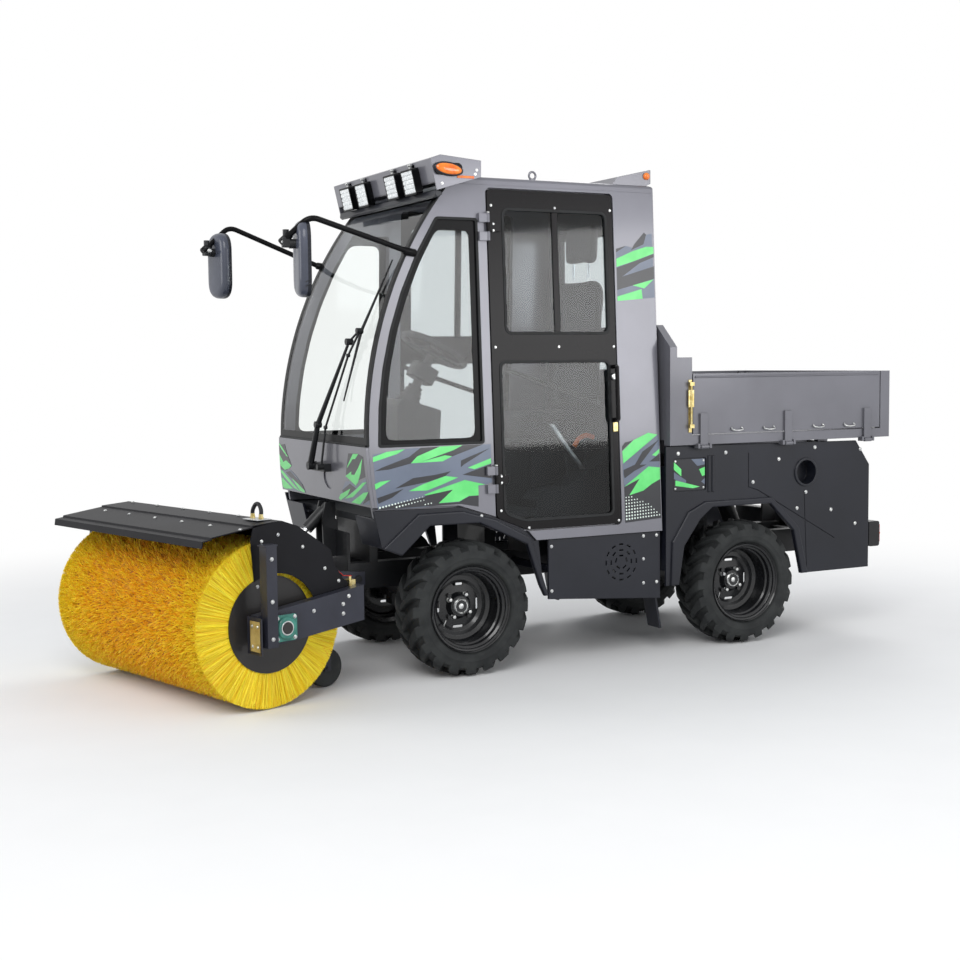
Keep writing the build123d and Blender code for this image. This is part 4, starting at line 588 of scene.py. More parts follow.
def tyre(row, x):
    """A tyre with a ribbed sidewall and two rows of slanted lugs that reach over its shoulders."""
    half, bead, rim_r = WHEEL_OUT - WHEEL_MID, 82.0, 195.0
    waist = (rim_r + TYRE_R) / 2 - 5
    outer = [(bead - 1, rim_r - 14), (bead + 6, rim_r + 3), (half - 8, rim_r + 10), (half - 6, rim_r + 14),
             (half - 4, rim_r + 16), (half - 1, waist - 14), (half, waist - 12), (half - 1, waist - 8),
             (half - 1, waist), (half - 5, waist + 20), (half - 12, CARCASS_R - 14),
             (half - 30, CARCASS_R - 3), (40, CARCASS_R), (0, CARCASS_R + 1)]
    inner = [(0, CARCASS_R - 16), (half - 34, CARCASS_R - 18), (half - 14, waist), (bead - 14, rim_r - 14)]
    profile = outer + [(-y, r) for y, r in reversed(outer[:-1])]
    profile += [(-y, r) for y, r in reversed(inner)] + inner[1:]
    form = Form()
    centre = Vector((x, WHEEL_MID, TYRE_R))
    form.turned(profile, centre, (0, 1, 0), 96)
    rows = [  # distance from the middle, radius of the top and the foot, half width on top in degrees
        (-7, TYRE_R - 1, CARCASS_R - 4, 2.5),
        (16, TYRE_R, CARCASS_R - 4, 3.2),
        (50, TYRE_R - 1, CARCASS_R - 5, 3.4),
        (78, TYRE_R - 6, CARCASS_R - 8, 4.0),
        (96, TYRE_R - 16, CARCASS_R - 16, 4.8),
        (half - 2, TYRE_R - 42, CARCASS_R - 42, 4.4)]
    for side in (1, -1):
        for k in range(LUGS):
            start = 360 / LUGS * (k + (0.25 if side > 0 else 0.75))
            loops = []
            for y, top, foot, wide in rows:
                turn = start + min(y, 96) * 0.16
                corners = []
                for r, spread in ((foot, 1.25), (top, 1.0), (top, -1.0), (foot, -1.25)):
                    a = math.radians(turn + wide * spread)
                    corners.append(centre + Vector((r * math.cos(a), side * y, r * math.sin(a))))
                loops.append(corners)
            form.loft(loops)
    pair(f"tread_{row}", form, f"wheel_{row}_left", "tyre_rubber", bevel=1.6, angle=30,
         replaces=(f"tyre_{row}_left",))


NUT = ((-12, 0), (-12, 13), (2, 13), (3, 11), (14, 10.5), (17, 8), (18, 0))
HUB_CAP = ((10, 0), (10, 40), (42, 38), (46, 34), (46, 27), (41, 26), (41, 14), (46, 13), (48, 9), (48, 0))
VALVE = ((70, 26, -62), (88, 40, -84), (92, 52, -92))


def wheel_fittings(row, x):
    """The wheel nuts, the hub's cap and the valve."""
    form = Form()
    hub = Vector((x, WHEEL_OUT - 158, TYRE_R))
    for k in range(4):
        a = math.radians(32 + 90 * k)
        spot = hub + Vector((58 * math.cos(a), 21, 58 * math.sin(a)))
        form.turned(NUT, spot, (0, 1, 0), 6)
    form.turned(HUB_CAP, hub, (0, 1, 0), 32)
    form.tube([hub + Vector(point) for point in VALVE], 3.5, 8)
    pair(f"wheel_nuts_{row}", form, f"wheel_{row}_left", "zinc", bevel=0.6)


def wheels():
    """The tyres and the wheels' fittings, front and rear."""
    for row, x in (("front", 0.0), ("rear", -WHEELBASE)):
        tyre(row, x)
        wheel_fittings(row, x)


# Brush


BRUSH_HALF = 583.0
BRUSH_R = 350.0
BRUSH_Z = ROLLER.z / MM
DISC_R = 200.0


def strands(name, roots, tips, width, material, seed):
    """Many thin bristles as one mesh: each a three-sided spike from its root to its tip."""
    rng = np.random.default_rng(seed)
    count = len(roots)
    run = tips - roots
    run /= np.linalg.norm(run, axis=1)[:, None]
    side = np.cross(run, rng.normal(size=(count, 3)))
    side /= np.linalg.norm(side, axis=1)[:, None]
    third = np.cross(run, side)
    corners = np.empty((count, 6, 3))
    for k in range(3):
        a = 2 * math.pi * k / 3
        spoke = side * math.cos(a) + third * math.sin(a)
        corners[:, k] = roots + spoke * width
        corners[:, k + 3] = tips + spoke * width * 0.45
    pattern = np.array([(0, 1, 4), (0, 4, 3), (1, 2, 5), (1, 5, 4), (2, 0, 3), (2, 3, 5), (3, 4, 5),
                        (2, 1, 0)])
    faces = (pattern[None] + 6 * np.arange(count)[:, None, None]).reshape(-1, 3)
    mesh = bpy.data.meshes.new(name)
    mesh.from_pydata(corners.reshape(-1, 3), [], faces)
    mesh.transform(BRUSH)
    return ready(name, mesh, "brush_roller", material, angle=60)


def around(angle, radius, along):
    """Points round the roller's axis, as rows of u, s and z."""
    return np.stack([radius * np.cos(angle), along, BRUSH_Z + radius * np.sin(angle)], axis=1)


def bristles():
    """A dense core, the bristles of its long side and the ones that fan out at each end."""
    core = Form()
    rings = []
    rng = random.Random(3)
    steps, rows = 160, 60
    for j in range(rows + 1):
        s = -BRUSH_HALF + 10 + (2 * BRUSH_HALF - 20) * j / rows
        ring = []
        for k in range(steps):
            a = 2 * math.pi * k / steps
            r = BRUSH_R - 32 + rng.uniform(-7, 7)
            ring.append(Vector((r * math.cos(a), s, BRUSH_Z + r * math.sin(a))))
        rings.append(ring)
    core.loft(rings)
    # The core's colour is darker to paint the shade between the tufts.
    piece("bristle_core", core, "brush_roller", "bristle_core_painted_shade", place=BRUSH, angle=60,
          replaces=("brush_bristles",))
    draw = np.random.default_rng(11)
    tufts = 36
    for part, material in (("side", "bristle_side"), ("shoulder", "bristle_end")):
        count = 24000 if part == "side" else 20000
        angle = draw.uniform(0, 2 * math.pi, count)
        if part == "side":
            along = draw.uniform(-BRUSH_HALF + 6, BRUSH_HALF - 6, count)
        else:
            in_from_end = np.minimum(np.abs(draw.exponential(120, count)), BRUSH_HALF - 10) + 6
            along = (BRUSH_HALF - in_from_end) * draw.choice([-1, 1], count)
        lean = draw.normal(0, 0.05, count) + 0.05 * np.sin(tufts * angle + along / 23)
        slant = draw.normal(0, 9, count) + 9 * np.sin(along / 17 + 5 * angle)
        tip_r = BRUSH_R - 1.5 - np.abs(draw.normal(0, 8, count))
        roots = around(angle, np.full(count, BRUSH_R - 62), along)
        limit = BRUSH_HALF - 1
        tips = around(angle + lean, tip_r, np.clip(along + slant, -limit, limit))
        strands(f"bristles_{part}", roots, tips, 2.1, material, 5)
    for side, label in SIDES:
        count = 7000
        angle = draw.uniform(0, 2 * math.pi, count)
        depth = draw.uniform(2, 22, count)
        roots = around(angle, np.full(count, DISC_R - 60), side * (BRUSH_HALF - depth))
        tip_r = BRUSH_R - 1.5 - np.abs(draw.normal(0, 4, count))
        tips = around(angle + draw.normal(0, 0.02, count), tip_r,
                      side * (BRUSH_HALF - depth * draw.uniform(0.2, 1.0, count) - 1))
        strands(f"bristles_end_{label}", roots, tips, 1.8, "bristle_end", 8)


# Cab: glass borders, stripes, lamps, mirrors


WINDOW_REAR, WINDOW_TOP = -72.0, ROOF_Z - 188
DOOR_LIGHTS = (  # corners as x and z, and their radius
    ([(-205, 2085), (-748, 2085), (-748, 1532), (-205, 1532)], 34),
    ([(-170, 1404), (-745, 1404), (-745, 690), (-268, 690), (-170, 728)], 30),
)


def side_ring(form, outer, inner, low, high):
    """A flat ring in the cab's side between two outlines of x and z, from one height off it to another."""
    lines = ((outer, low), (outer, high), (inner, high), (inner, low))
    form.loft([[on_side(x, z, out) for x, z in line] for line, out in lines], closed=True)


def window_outline(rear, top, low, back):
    """The side window's corners, its front edge as far behind the cab's curved front as given."""
    heights = [top + (low - top) * k / 6 for k in range(7)]
    return [(rear, top)] + [(front_x(z) - back, z) for z in heights] + [(rear, low)]


def side_borders():
    """The black border of each side window, and the rubber round it and round the doors' panes."""
    opening = window_outline(WINDOW_REAR, WINDOW_TOP, WAIST_Z, 50)
    pane = window_outline(-35, 1987, 1072, 84)
    border, seal, door_seal = Form(), Form(), Form()
    side_ring(border, rounded(inset(opening, 1), 12, 4), rounded(pane, 40, 4), -8.7, -7.9)
    pair("window_border", border, "chassis", "black_enamel")
    side_ring(seal, rounded(inset(opening, -6), 16, 4), rounded(inset(opening, 6), 10, 4), -7.5, 2.5)
    pair("window_seal", seal, "chassis", "seal_rubber", bevel=1.2)
    for outline, radius in DOOR_LIGHTS:
        outer, inner = rounded(inset(outline, -6), radius + 6), rounded(inset(outline, 7), radius - 7)
        side_ring(door_seal, outer, inner, -8.5, 3)
    pair("door_seal", door_seal, "door_left", "seal_rubber", bevel=1.4)


SCREEN_LOW, SCREEN_HIGH = WAIST_Z + 1, 2166
SCREEN_STEPS = 14


def upright(side, first, last, back):
    """Points of y and z up or down one side of the windscreen, so far in from its edge."""
    heights = [first + (last - first) * k / SCREEN_STEPS for k in range(SCREEN_STEPS + 1)]
    return [(side * (side_y(z, 6) - back), z) for z in heights]


def windscreen_border():
    """The windscreen's black border, and the rubber down its sides and along its foot."""
    def outline(low, high, back):
        return upright(1, low, high, back) + upright(-1, high, low, back)
    outer, inner = outline(SCREEN_LOW, SCREEN_HIGH, 0), outline(WAIST_Z + 38, 2112, 30)
    border, seal = Form(), Form()
    lines = ((outer, 0.3), (outer, 1.3), (inner, 1.3), (inner, 0.3))
    border.loft([[on_front(y, z, GLASS_T + out) for y, z in line] for line, out in lines], closed=True)
    piece("windscreen_border", border, "chassis", "black_enamel")
    for side in (1, -1):
        edge = upright(side, SCREEN_LOW, SCREEN_HIGH, 0)
        seal.tube([on_front(y + side * 3, z, 1) for y, z in edge], 5.5, 8)
    seal.tube([on_front(y, WAIST_Z + 2, PANEL_T - 5) for y in (-535, -270, 0, 270, 535)], 5, 8)
    piece("windscreen_seal", seal, "chassis", "seal_rubber")


STRIPES_FRONT_SIDE = (  # colour, corners as x and z
    ("slate", [(464, 1015), (321, 1035), (-108, 1040), (-108, 869), (-38, 853), (-38, 815), (10, 811),
               (61, 789), (235, 777), (448, 778), (452, 800)]),
    ("green", [(464, 1004), (400, 1024), (312, 1033), (349, 1014), (464, 983)]),
    ("dark", [(458, 944), (423, 958), (293, 999), (238, 1036), (145, 1038), (256, 999), (286, 970),
              (391, 948)]),
    ("green", [(286, 971), (256, 999), (145, 1038), (33, 1040), (75, 1021), (210, 982), (256, 971)]),
    ("green", [(256, 971), (122, 999), (85, 994), (133, 973)]),
    ("dark", [(33, 1040), (-69, 1040), (85, 993), (122, 999), (210, 982), (75, 1021)]),
    ("dark", [(43, 973), (6, 986), (-101, 1022), (29, 955), (45, 944)]),
    ("green", [(10, 940), (-27, 952), (-106, 977), (-106, 954), (-22, 932)]),
    ("dark", [(38, 910), (-106, 951), (-106, 888)]),
    ("dark", [(365, 865), (279, 906), (168, 916), (96, 928), (122, 909), (205, 887), (275, 877)]),
    ("green", [(300, 851), (233, 877), (122, 908), (61, 899), (145, 870), (214, 849)]),
    ("green", [(460, 888), (433, 898), (386, 902), (457, 865)]),
    ("dark", [(451, 828), (326, 862), (381, 827), (446, 804)]),
    ("green", [(228, 831), (154, 853), (29, 886), (-73, 862), (-38, 859), (-38, 815), (10, 815), (59, 793),
               (161, 791), (89, 847), (219, 828)]),
    ("dark", [(442, 778), (444, 784), (228, 821), (219, 828), (89, 846), (161, 790), (61, 790), (10, 813),
              (-38, 815), (-36, 765), (52, 782)]),
)
STRIPES_REAR_SIDE = (  # colour, corners as x and z
    ("slate", [(-801, 1907), (-856, 1938), (-893, 1929), (-970, 1992), (-1002, 2000), (-1010, 1699),
               (-942, 1693), (-801, 1681)]),
    ("dark", [(-884, 1918), (-905, 1949), (-959, 2003), (-971, 1993), (-955, 1948)]),
    ("dark", [(-801, 1923), (-856, 1938), (-801, 1906)]),
    ("green", [(-801, 1877), (-893, 1914), (-967, 1936), (-1010, 1937), (-1010, 1906), (-899, 1868),
               (-801, 1839)]),
    ("dark", [(-801, 1835), (-899, 1867), (-1010, 1904), (-1010, 1889), (-930, 1859), (-832, 1795),
              (-1010, 1846), (-1010, 1788), (-890, 1755), (-801, 1732)]),
    ("green", [(-887, 1755), (-1005, 1784), (-952, 1741)]),
    ("green", [(-801, 1702), (-936, 1738), (-941, 1693), (-801, 1681)]),
    ("slate", [(-802, 920), (-1004, 1053), (-1010, 1029), (-1010, 898), (-946, 901), (-806, 815)]),
    ("dark", [(-802, 1003), (-818, 1022), (-854, 1028), (-866, 1033), (-802, 986)]),
    ("green", [(-802, 981), (-866, 1031), (-950, 1063), (-1002, 1053), (-806, 924)]),
    ("dark", [(-806, 894), (-870, 916), (-914, 975), (-1008, 1028), (-898, 914), (-936, 914), (-866, 886),
              (-810, 854), (-806, 874)]),
    ("green", [(-968, 957), (-1010, 985), (-1010, 967), (-990, 951)]),
    ("dark", [(-952, 927), (-990, 950), (-1010, 962), (-1010, 926)]),
    ("green", [(-808, 815), (-946, 904), (-1010, 897), (-1010, 842), (-962, 821), (-914, 792), (-834, 774),
               (-894, 849)]),
    ("dark", [(-808, 813), (-894, 849), (-834, 774), (-914, 792), (-962, 821), (-1010, 842), (-1010, 657),
              (-808, 646)]),
)
STRIPES_FRONT = (  # colour, corners as y and z
    ("dark", [(348, 1012), (457, 1016), (516, 1005), (528, 919), (452, 901), (363, 900), (306, 917)]),
    ("green", [(400, 1012), (461, 1015), (424, 991), (395, 989), (324, 944), (333, 957)]),
    ("green", [(301, 909), (373, 934), (368, 920), (404, 920), (454, 955), (504, 998), (477, 934),
               (439, 891), (410, 873)]),
    ("slate", [(292, 884), (346, 888), (410, 873), (531, 913), (545, 803), (511, 796), (317, 793),
               (191, 802), (244, 842)]),
    ("dark", [(244, 842), (345, 878), (410, 861), (335, 833), (259, 808)]),
    ("green", [(191, 802), (217, 821), (344, 856), (302, 824), (207, 793)]),
    ("green", [(259, 804), (401, 854), (491, 892), (536, 898), (450, 857), (359, 819)]),
    ("green", [(333, 794), (489, 848), (544, 855), (504, 827), (431, 793)]),
    ("dark", [(504, 827), (544, 855), (545, 821), (463, 795)]),
    ("dark", [(-545, 1008), (-465, 1016), (-433, 969), (-386, 918), (-479, 881), (-545, 889)]),
    ("green", [(-540, 1016), (-497, 997), (-423, 955), (-443, 957), (-518, 993), (-540, 1006)]),
    ("green", [(-545, 963), (-496, 926), (-455, 937), (-386, 915), (-417, 899), (-488, 888), (-545, 908)]),
    ("slate", [(-545, 890), (-489, 884), (-407, 893), (-339, 869), (-263, 832), (-232, 793), (-393, 792),
               (-545, 792)]),
    ("green", [(-545, 886), (-509, 879), (-411, 836), (-304, 793), (-392, 809), (-501, 851), (-545, 874)]),
    ("dark", [(-479, 878), (-408, 886), (-263, 832), (-241, 806), (-341, 837), (-419, 857)]),
    ("green", [(-399, 854), (-322, 832), (-241, 803), (-246, 793), (-304, 797)]),
    ("green", [(-545, 846), (-522, 843), (-403, 801), (-515, 793), (-545, 801)]),
)
STRIPE_PAINT = {"green": "stripe_green", "slate": "stripe_slate", "dark": "stripe_dark"}
FILM = 0.3


def stripes(label, table, place, wrap=None):
    """The painted shards of one panel, one piece a colour, each shard just over the ones before it."""
    made = []
    for colour, material in STRIPE_PAINT.items():
        form = Form()
        for k, (paint, corners) in enumerate(table):
            if paint != colour:
                continue
            low, high = 0.1, FILM + 0.09 * k
            if wrap:
                form.plate([(low, *corner) for corner in corners], (high - low, 0, 0))
            else:
                form.plate([place(*corner, low) for corner in corners], SIDE_OUT * (high - low))
        if wrap:
            for z in wrap:
                geom = form.bm.verts[:] + form.bm.edges[:] + form.bm.faces[:]
                bmesh.ops.bisect_plane(form.bm, geom=geom, dist=0.01, plane_co=(0, 0, z), plane_no=(0, 0, 1))
            for vert in form.bm.verts:
                vert.co = place(vert.co.y, vert.co.z, vert.co.x)
        made.append(piece(f"stripes_{label}_{colour}", form, "chassis", material))
    return made


def dots(name, spots):
    """Small round spots of pale paint on the cab's side: x, z and radius."""
    form = Form()
    for x, z, radius in spots:
        ring = [2 * math.pi * k / 10 for k in range(10)]
        spot = [on_side(x + radius * math.cos(a), z + radius * math.sin(a), 0.1) for a in ring]
        form.plate(spot, SIDE_OUT * 1.9)
    pair(name, form, "chassis", "stripe_pale")


def cab_paintwork():
    """The shards on both sides and the front, and the rows of dots that fade out over them."""
    for label, table in (("front_side", STRIPES_FRONT_SIDE), ("rear_side", STRIPES_REAR_SIDE)):
        for made in stripes(label, table, on_side):
            mirrored(made, made.name + "_right", "chassis")
    stripes("front", STRIPES_FRONT, lambda y, z, out: on_front(y, z, PANEL_T + out),
            [800 + 20 * k for k in range(12)])
    rows = [(440 - 14.5 * k, 786 + 2.6 * k, 4.6 - 0.2 * k) for k in range(15)]
    rows += [(362 - 14.5 * k, 785 + 2.6 * k, 4.2 - 0.2 * k) for k in range(10)]
    rows += [(225 - 14.5 * k, 789 + 2 * k, 3.0) for k in range(3)]
    grid = []
    for row in range(8):
        for column in range(13):
            x, z = -815 - 15.5 * column, 662 + 14.6 * row + 0.9 * column
            if row <= 7.4 - 0.09 * column ** 1.72:
                grid.append((x, z, 4.9 - 0.12 * column - 0.22 * row))
    dots("dots_front", rows)
    dots("dots_rear", grid)


VISOR_HALF = ROOF_Y + 67
VISOR_TOP, VISOR_LOW = Vector((177, 0, ROOF_Z + 58)), Vector((146, 0, ROOF_Z - 76))
LAMPS_Y = (-360, -170, 170, 360)
LAMP_WIDE, LAMP_HIGH, LAMP_FRONT = 62, 56, 30.4
LAMP_EDGE = 7
LENS_COLUMNS, LENS_ROWS = 6, 5
FACET = ((-1, 1), (1, 1), (5, 0.4))  # height off the lamp's front, share of a facet's size


def work_lamp(y, lenses, frames, metal):
    """One lamp's faceted lens, its frame and its bracket with the bolt."""
    tilt = math.atan2(VISOR_TOP.x - VISOR_LOW.x, VISOR_TOP.z - VISOR_LOW.z)
    centre = (VISOR_TOP + VISOR_LOW) / 2 + Vector((0, y, 0))
    face = Matrix.Translation(centre) @ Matrix.Rotation(tilt, 4, "Y")

    def at(x, across, up):
        return face @ Vector((x, across, up - 10))
    wide, high = LAMP_WIDE - LAMP_EDGE, LAMP_HIGH - LAMP_EDGE
    outer, inner = rounded(oblong(LAMP_WIDE, LAMP_HIGH), 10, 4), rounded(oblong(wide, high), 6, 4)
    lines = ((outer, -6), (outer, 3), (inner, 4), (inner, -6))
    frames.loft([[at(LAMP_FRONT + out, a, b) for a, b in line] for line, out in lines], closed=True)
    half_a, half_b = wide / LENS_COLUMNS, high / LENS_ROWS
    for i in range(LENS_COLUMNS):
        for j in range(LENS_ROWS):
            a0, b0 = (2 * i + 1) * half_a - wide, (2 * j + 1) * half_b - high
            rings = [(out, oblong(half_a * share, half_b * share)) for out, share in FACET]
            lenses.loft([[at(LAMP_FRONT + out, a0 + a, b0 + b) for a, b in ring] for out, ring in rings])
    for low, top, half in ((-4, 18, 9), (12, 20, 15)):
        strap = ((4, -half), (14, -half), (14, half), (4, half))
        metal.loft([[at(x, a, LAMP_HIGH + up) for x, a in strap] for up in (low, top)])
    metal.bolt(at(14, 0, LAMP_HIGH + 16), face.to_3x3() @ Vector((1, 0, 0)), 6, 5)


def visor_lamps():
    """The four lamps' lenses, frames and fixings, and the visor's lip."""
    lenses, frames, metal, lip = Form(), Form(), Form(), Form()
    for y in LAMPS_Y:
        work_lamp(y, lenses, frames, metal)
    piece("lamp_lenses", lenses, "chassis", "lamp_face", angle=12)
    piece("lamp_frames", frames, "chassis", "black_enamel", bevel=0.8)
    for side in (1, -1):
        for x, z in ((121, 2176), (-48, 2240), (-40, 2222)):
            metal.bolt((x, side * VISOR_HALF, z), (0, side, 0), 5.5, 4)
    piece("visor_fixings", metal, "chassis", "zinc", bevel=0.5)
    edge = ((149, -74), (151, -96), (139, -106), (116, -92), (122, -78))
    lip.plate([(x, 8 - VISOR_HALF, ROOF_Z + up) for x, up in edge], (0, 2 * VISOR_HALF - 16, 0))
    piece("visor_lip", lip, "chassis", "moulded_plastic", bevel=2)


def end_lamp(side, label):
    """The oval amber lamp on the visor's end, its bezel and the strip under it."""
    amber, bezel, strip = Form(), Form(), Form()
    centre = Vector((93, side * (VISOR_HALF + 4), ROOF_Z + 16))

    def oval(length, height, out):
        turns = [2 * math.pi * k / 32 for k in range(32)]
        return [centre + Vector((length * math.cos(a), side * out, height * math.sin(a)
                                 + 0.10 * length * math.cos(a))) for a in turns]
    lens = ((62, 23, 0), (62, 23, 9), (58, 20, 13), (46, 15, 15.5), (20, 6, 16.5))
    collar = ((70, 30, -3), (70, 30, 6), (66, 27, 10), (62, 23.5, 10), (62, 23.5, -3))
    amber.loft([oval(*ring) for ring in lens])
    bezel.loft([oval(*ring) for ring in collar], closed=True)
    piece(f"amber_lens_{label}", amber, "chassis", "amber_lens")
    piece(f"amber_bezel_{label}", bezel, "chassis", "moulded_plastic")
    faces = sorted((side * VISOR_HALF, side * (VISOR_HALF + 2.5)))
    strip.block((-34, 49), faces, (ROOF_Z - 20, ROOF_Z - 9))
    piece(f"amber_strip_{label}", strip, "chassis", "orange_plastic", bevel=1)


MIRRORS = (  # side, name, head x and z, the arm's bend as x, y and z
    (1, "left", 780, 1835, (765, 640, 2005)),
    (-1, "right", 767, 1879, (706, 600, 2069)),
)
MIRROR_DEEP, MIRROR_WIDE, MIRROR_HIGH = 48, 85, 155
MIRROR_Y = 580
ARM_FOOT_Z = 1880


def mirror_head(side, label, x, z, bend):
    """A mirror's domed shell, its rim with slanted ribs, the glass, the arm and the clamp's wing knob."""
    head = Matrix.Translation((x, side * MIRROR_Y, z)) @ Matrix.Rotation(math.radians(-10 * side), 4, "Z")

    def outline(less, out):
        wide, high = MIRROR_WIDE - less, MIRROR_HIGH - less
        line = rounded(oblong(wide, high), wide * 0.98, 10)
        return [head @ Vector((out - MIRROR_DEEP / 2, a, b)) for a, b in line]
    shell, rim, glass, arm, knob = Form(), Form(), Form(), Form(), Form()
    turns = [math.radians(18 * k) for k in range(1, 5)]
    dome = [(-1, 14), (-1, MIRROR_DEEP - 26)]
    dome += [(26 - 27 * math.cos(a), MIRROR_DEEP - 26 + 27 * math.sin(a)) for a in turns]
    dome += [(34, MIRROR_DEEP + 1), (60, MIRROR_DEEP + 2.2), (80, MIRROR_DEEP + 2.6)]
    shell.loft([outline(less, out) for less, out in dome])
    piece(f"mirror_shell_{label}", shell, "chassis", "mirror_shell")
    lines = ((-1.5, 0), (-1.5, 14), (3, 14.5), (9, 4), (9, 0))
    rim.loft([outline(less, out) for less, out in lines], closed=True)
    for k in range(9):
        up = 40 - 18 * k
        low = Vector((-MIRROR_DEEP / 2 + 4, side * (MIRROR_WIDE - 1.8), up))
        rim.bar(head @ low, head @ (low + Vector((22, 0, -12))), 2.4, 8)
    piece(f"mirror_rim_{label}", rim, "chassis", "moulded_plastic")
    glass.loft([outline(10, 0.6), outline(10, 2.8)])
    piece(f"mirror_glass_{label}", glass, "chassis", "mirror_glass")
    foot = Vector((front_x(ARM_FOOT_Z) - 35, side * side_y(ARM_FOOT_Z, -8.4), ARM_FOOT_Z))
    elbow, corner = Vector((290, side * 522, 1888)), Vector((bend[0], side * bend[1], bend[2]))
    end = head @ Vector((64, 0, 84))
    arm.tube(bent([foot, elbow, corner, end], (20, 60)), 12.2, 14, smooth=False)
    arm.turned([(-26, 0), (-26, 15), (-22, 17), (30, 17), (36, 14), (36, 0)], foot + Vector((24, 0, 1)),
               elbow - foot, 20)
    arm.turned([(-30, 0), (-30, 15), (-26, 17), (22, 17), (26, 14), (26, 0)], end, corner - end, 20)
    piece(f"mirror_arm_{label}", arm, "chassis", "black_enamel")
    for across in (-12, 12):
        knob.bolt(head @ Vector((MIRROR_DEEP / 2 + 57, across, 68)), (1, 0, 0), 5, 5)
    knob.turned([(0, 0), (0, 10), (14, 10), (16, 7), (26, 7), (27, 0)],
                head @ Vector((MIRROR_DEEP / 2 + 40, -side * 22, 68)), (0, -side, 0), 12)
    piece(f"mirror_knob_{label}", knob, "chassis", "zinc", bevel=0.6)


# Seat


SEAT_LOW, SEAT_HIGH = (corner.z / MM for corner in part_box("seat_cushion"))
RECLINE = Matrix.Translation((-880, 0, SEAT_HIGH)) @ Matrix.Rotation(math.radians(-3), 4, "Y")
PADS = (  # name, centre, half depth, width and length, thin axis, place, node, seam lines
    ("cushion", (-680, 0, (SEAT_LOW + SEAT_HIGH) / 2), (46, 240, 226), "Z", Matrix(), "seat_cushion",
     (-110, 110)),
    ("back", (0, 0, 345), (25, 212, 330), "X", RECLINE, "seat_backrest", (-120, 60, 200)),
    ("headrest", (0, 0, 836), (27, 126, 99), "X", RECLINE, None, ()),
)
PAD_SWELL = 24.0


def evaluated(obj):
    """The object's mesh with its modifiers as they stand."""
    return bpy.data.meshes.new_from_object(obj.evaluated_get(bpy.context.evaluated_depsgraph_get()))


def swollen(name, mesh, voxel, cap):
    """The mesh in even faces, blown up as simulated cloth, no point moving further than the cap."""
    obj = bpy.data.objects.new(name + "_form", mesh)
    bpy.context.scene.collection.objects.link(obj)
    remesh = obj.modifiers.new("even", "REMESH")
    remesh.mode = "VOXEL"
    remesh.voxel_size = voxel * MM
    even = evaluated(obj)
    obj.modifiers.clear()
    obj.data = even
    cloth = obj.modifiers.new("cloth", "CLOTH")
    cloth.settings.use_pressure = True
    cloth.settings.uniform_pressure_force = 4
    cloth.settings.effector_weights.gravity = 0
    for step in range(1, 21):
        bpy.context.scene.frame_set(step)
    blown = evaluated(obj)
    obj.modifiers.clear()
    bpy.context.scene.frame_set(1)
    for vert, other in zip(even.vertices, blown.vertices):
        step = other.co - vert.co
        vert.co += step * min(1.0, cap * MM / max(step.length, 1e-9))
    bpy.data.meshes.remove(blown)
    smooth = obj.modifiers.new("smooth", "SUBSURF")
    smooth.levels = 1
    made = evaluated(obj)
    made.name = name
    bpy.data.objects.remove(obj)
    return made


def in_pad(thin, out, wide, high):
    """A vector in a pad's own directions: out through its face, across its width and along its length."""
    return Vector((high, wide, out)) if thin == "Z" else Vector((out, wide, high))


def sewn(mesh, place, centre, thin, lines):
    """Draws the pad's face in along its sewn lines, across its width."""
    back = place.inverted()
    face, length = in_pad(thin, 1, 0, 0), in_pad(thin, 0, 0, 1)
    for vert in mesh.vertices:
        along = (back @ vert.co - Vector(centre)).dot(length)
        if vert.normal.dot(face) > 0.4:
            near = min((abs(along - line) for line in lines), default=99)
            vert.co -= vert.normal * 7 * MM * math.exp(-(near / 7) ** 2)


def piping(mesh, place, centre, half, thin, name):
    """A cord sewn round the pad where its face meets its sides."""
    faces = [face.vertices for face in mesh.polygons]
    tree = BVHTree.FromPolygons([vert.co for vert in mesh.vertices], faces)
    turn = place.to_3x3().normalized()
    start = Vector(centre) + in_pad(thin, half[0] * 0.62, 0, 0)
    normal = in_pad(thin, 1, 0, 0)
    line = []
    for k in range(96):
        a = 2 * math.pi * k / 96
        way = in_pad(thin, 0, math.cos(a), math.sin(a))
        hit = tree.ray_cast(place @ (start + way * 700), -(turn @ way))[0]
        if hit:
            line.append(place.inverted() @ hit)
    form = Form()
    rings = []
    for k, point in enumerate(line):
        along = (line[(k + 1) % len(line)] - line[k - 1]).normalized()
        side = along.cross(normal).normalized()
        rings.append([point + (normal * math.cos(math.pi * j / 4) + side * math.sin(math.pi * j / 4)) * 3.4
                      for j in range(8)])
    form.loft(rings, closed=True)
    piece(name, form, "chassis", "seal_rubber", place=place, angle=60)


PAD_RINGS = ((-1, 20), (-0.8, 8), (-0.45, 1), (0.45, 1), (0.8, 8), (1, 20))  # share of the depth, inset
PAD_VOXEL = 12.0


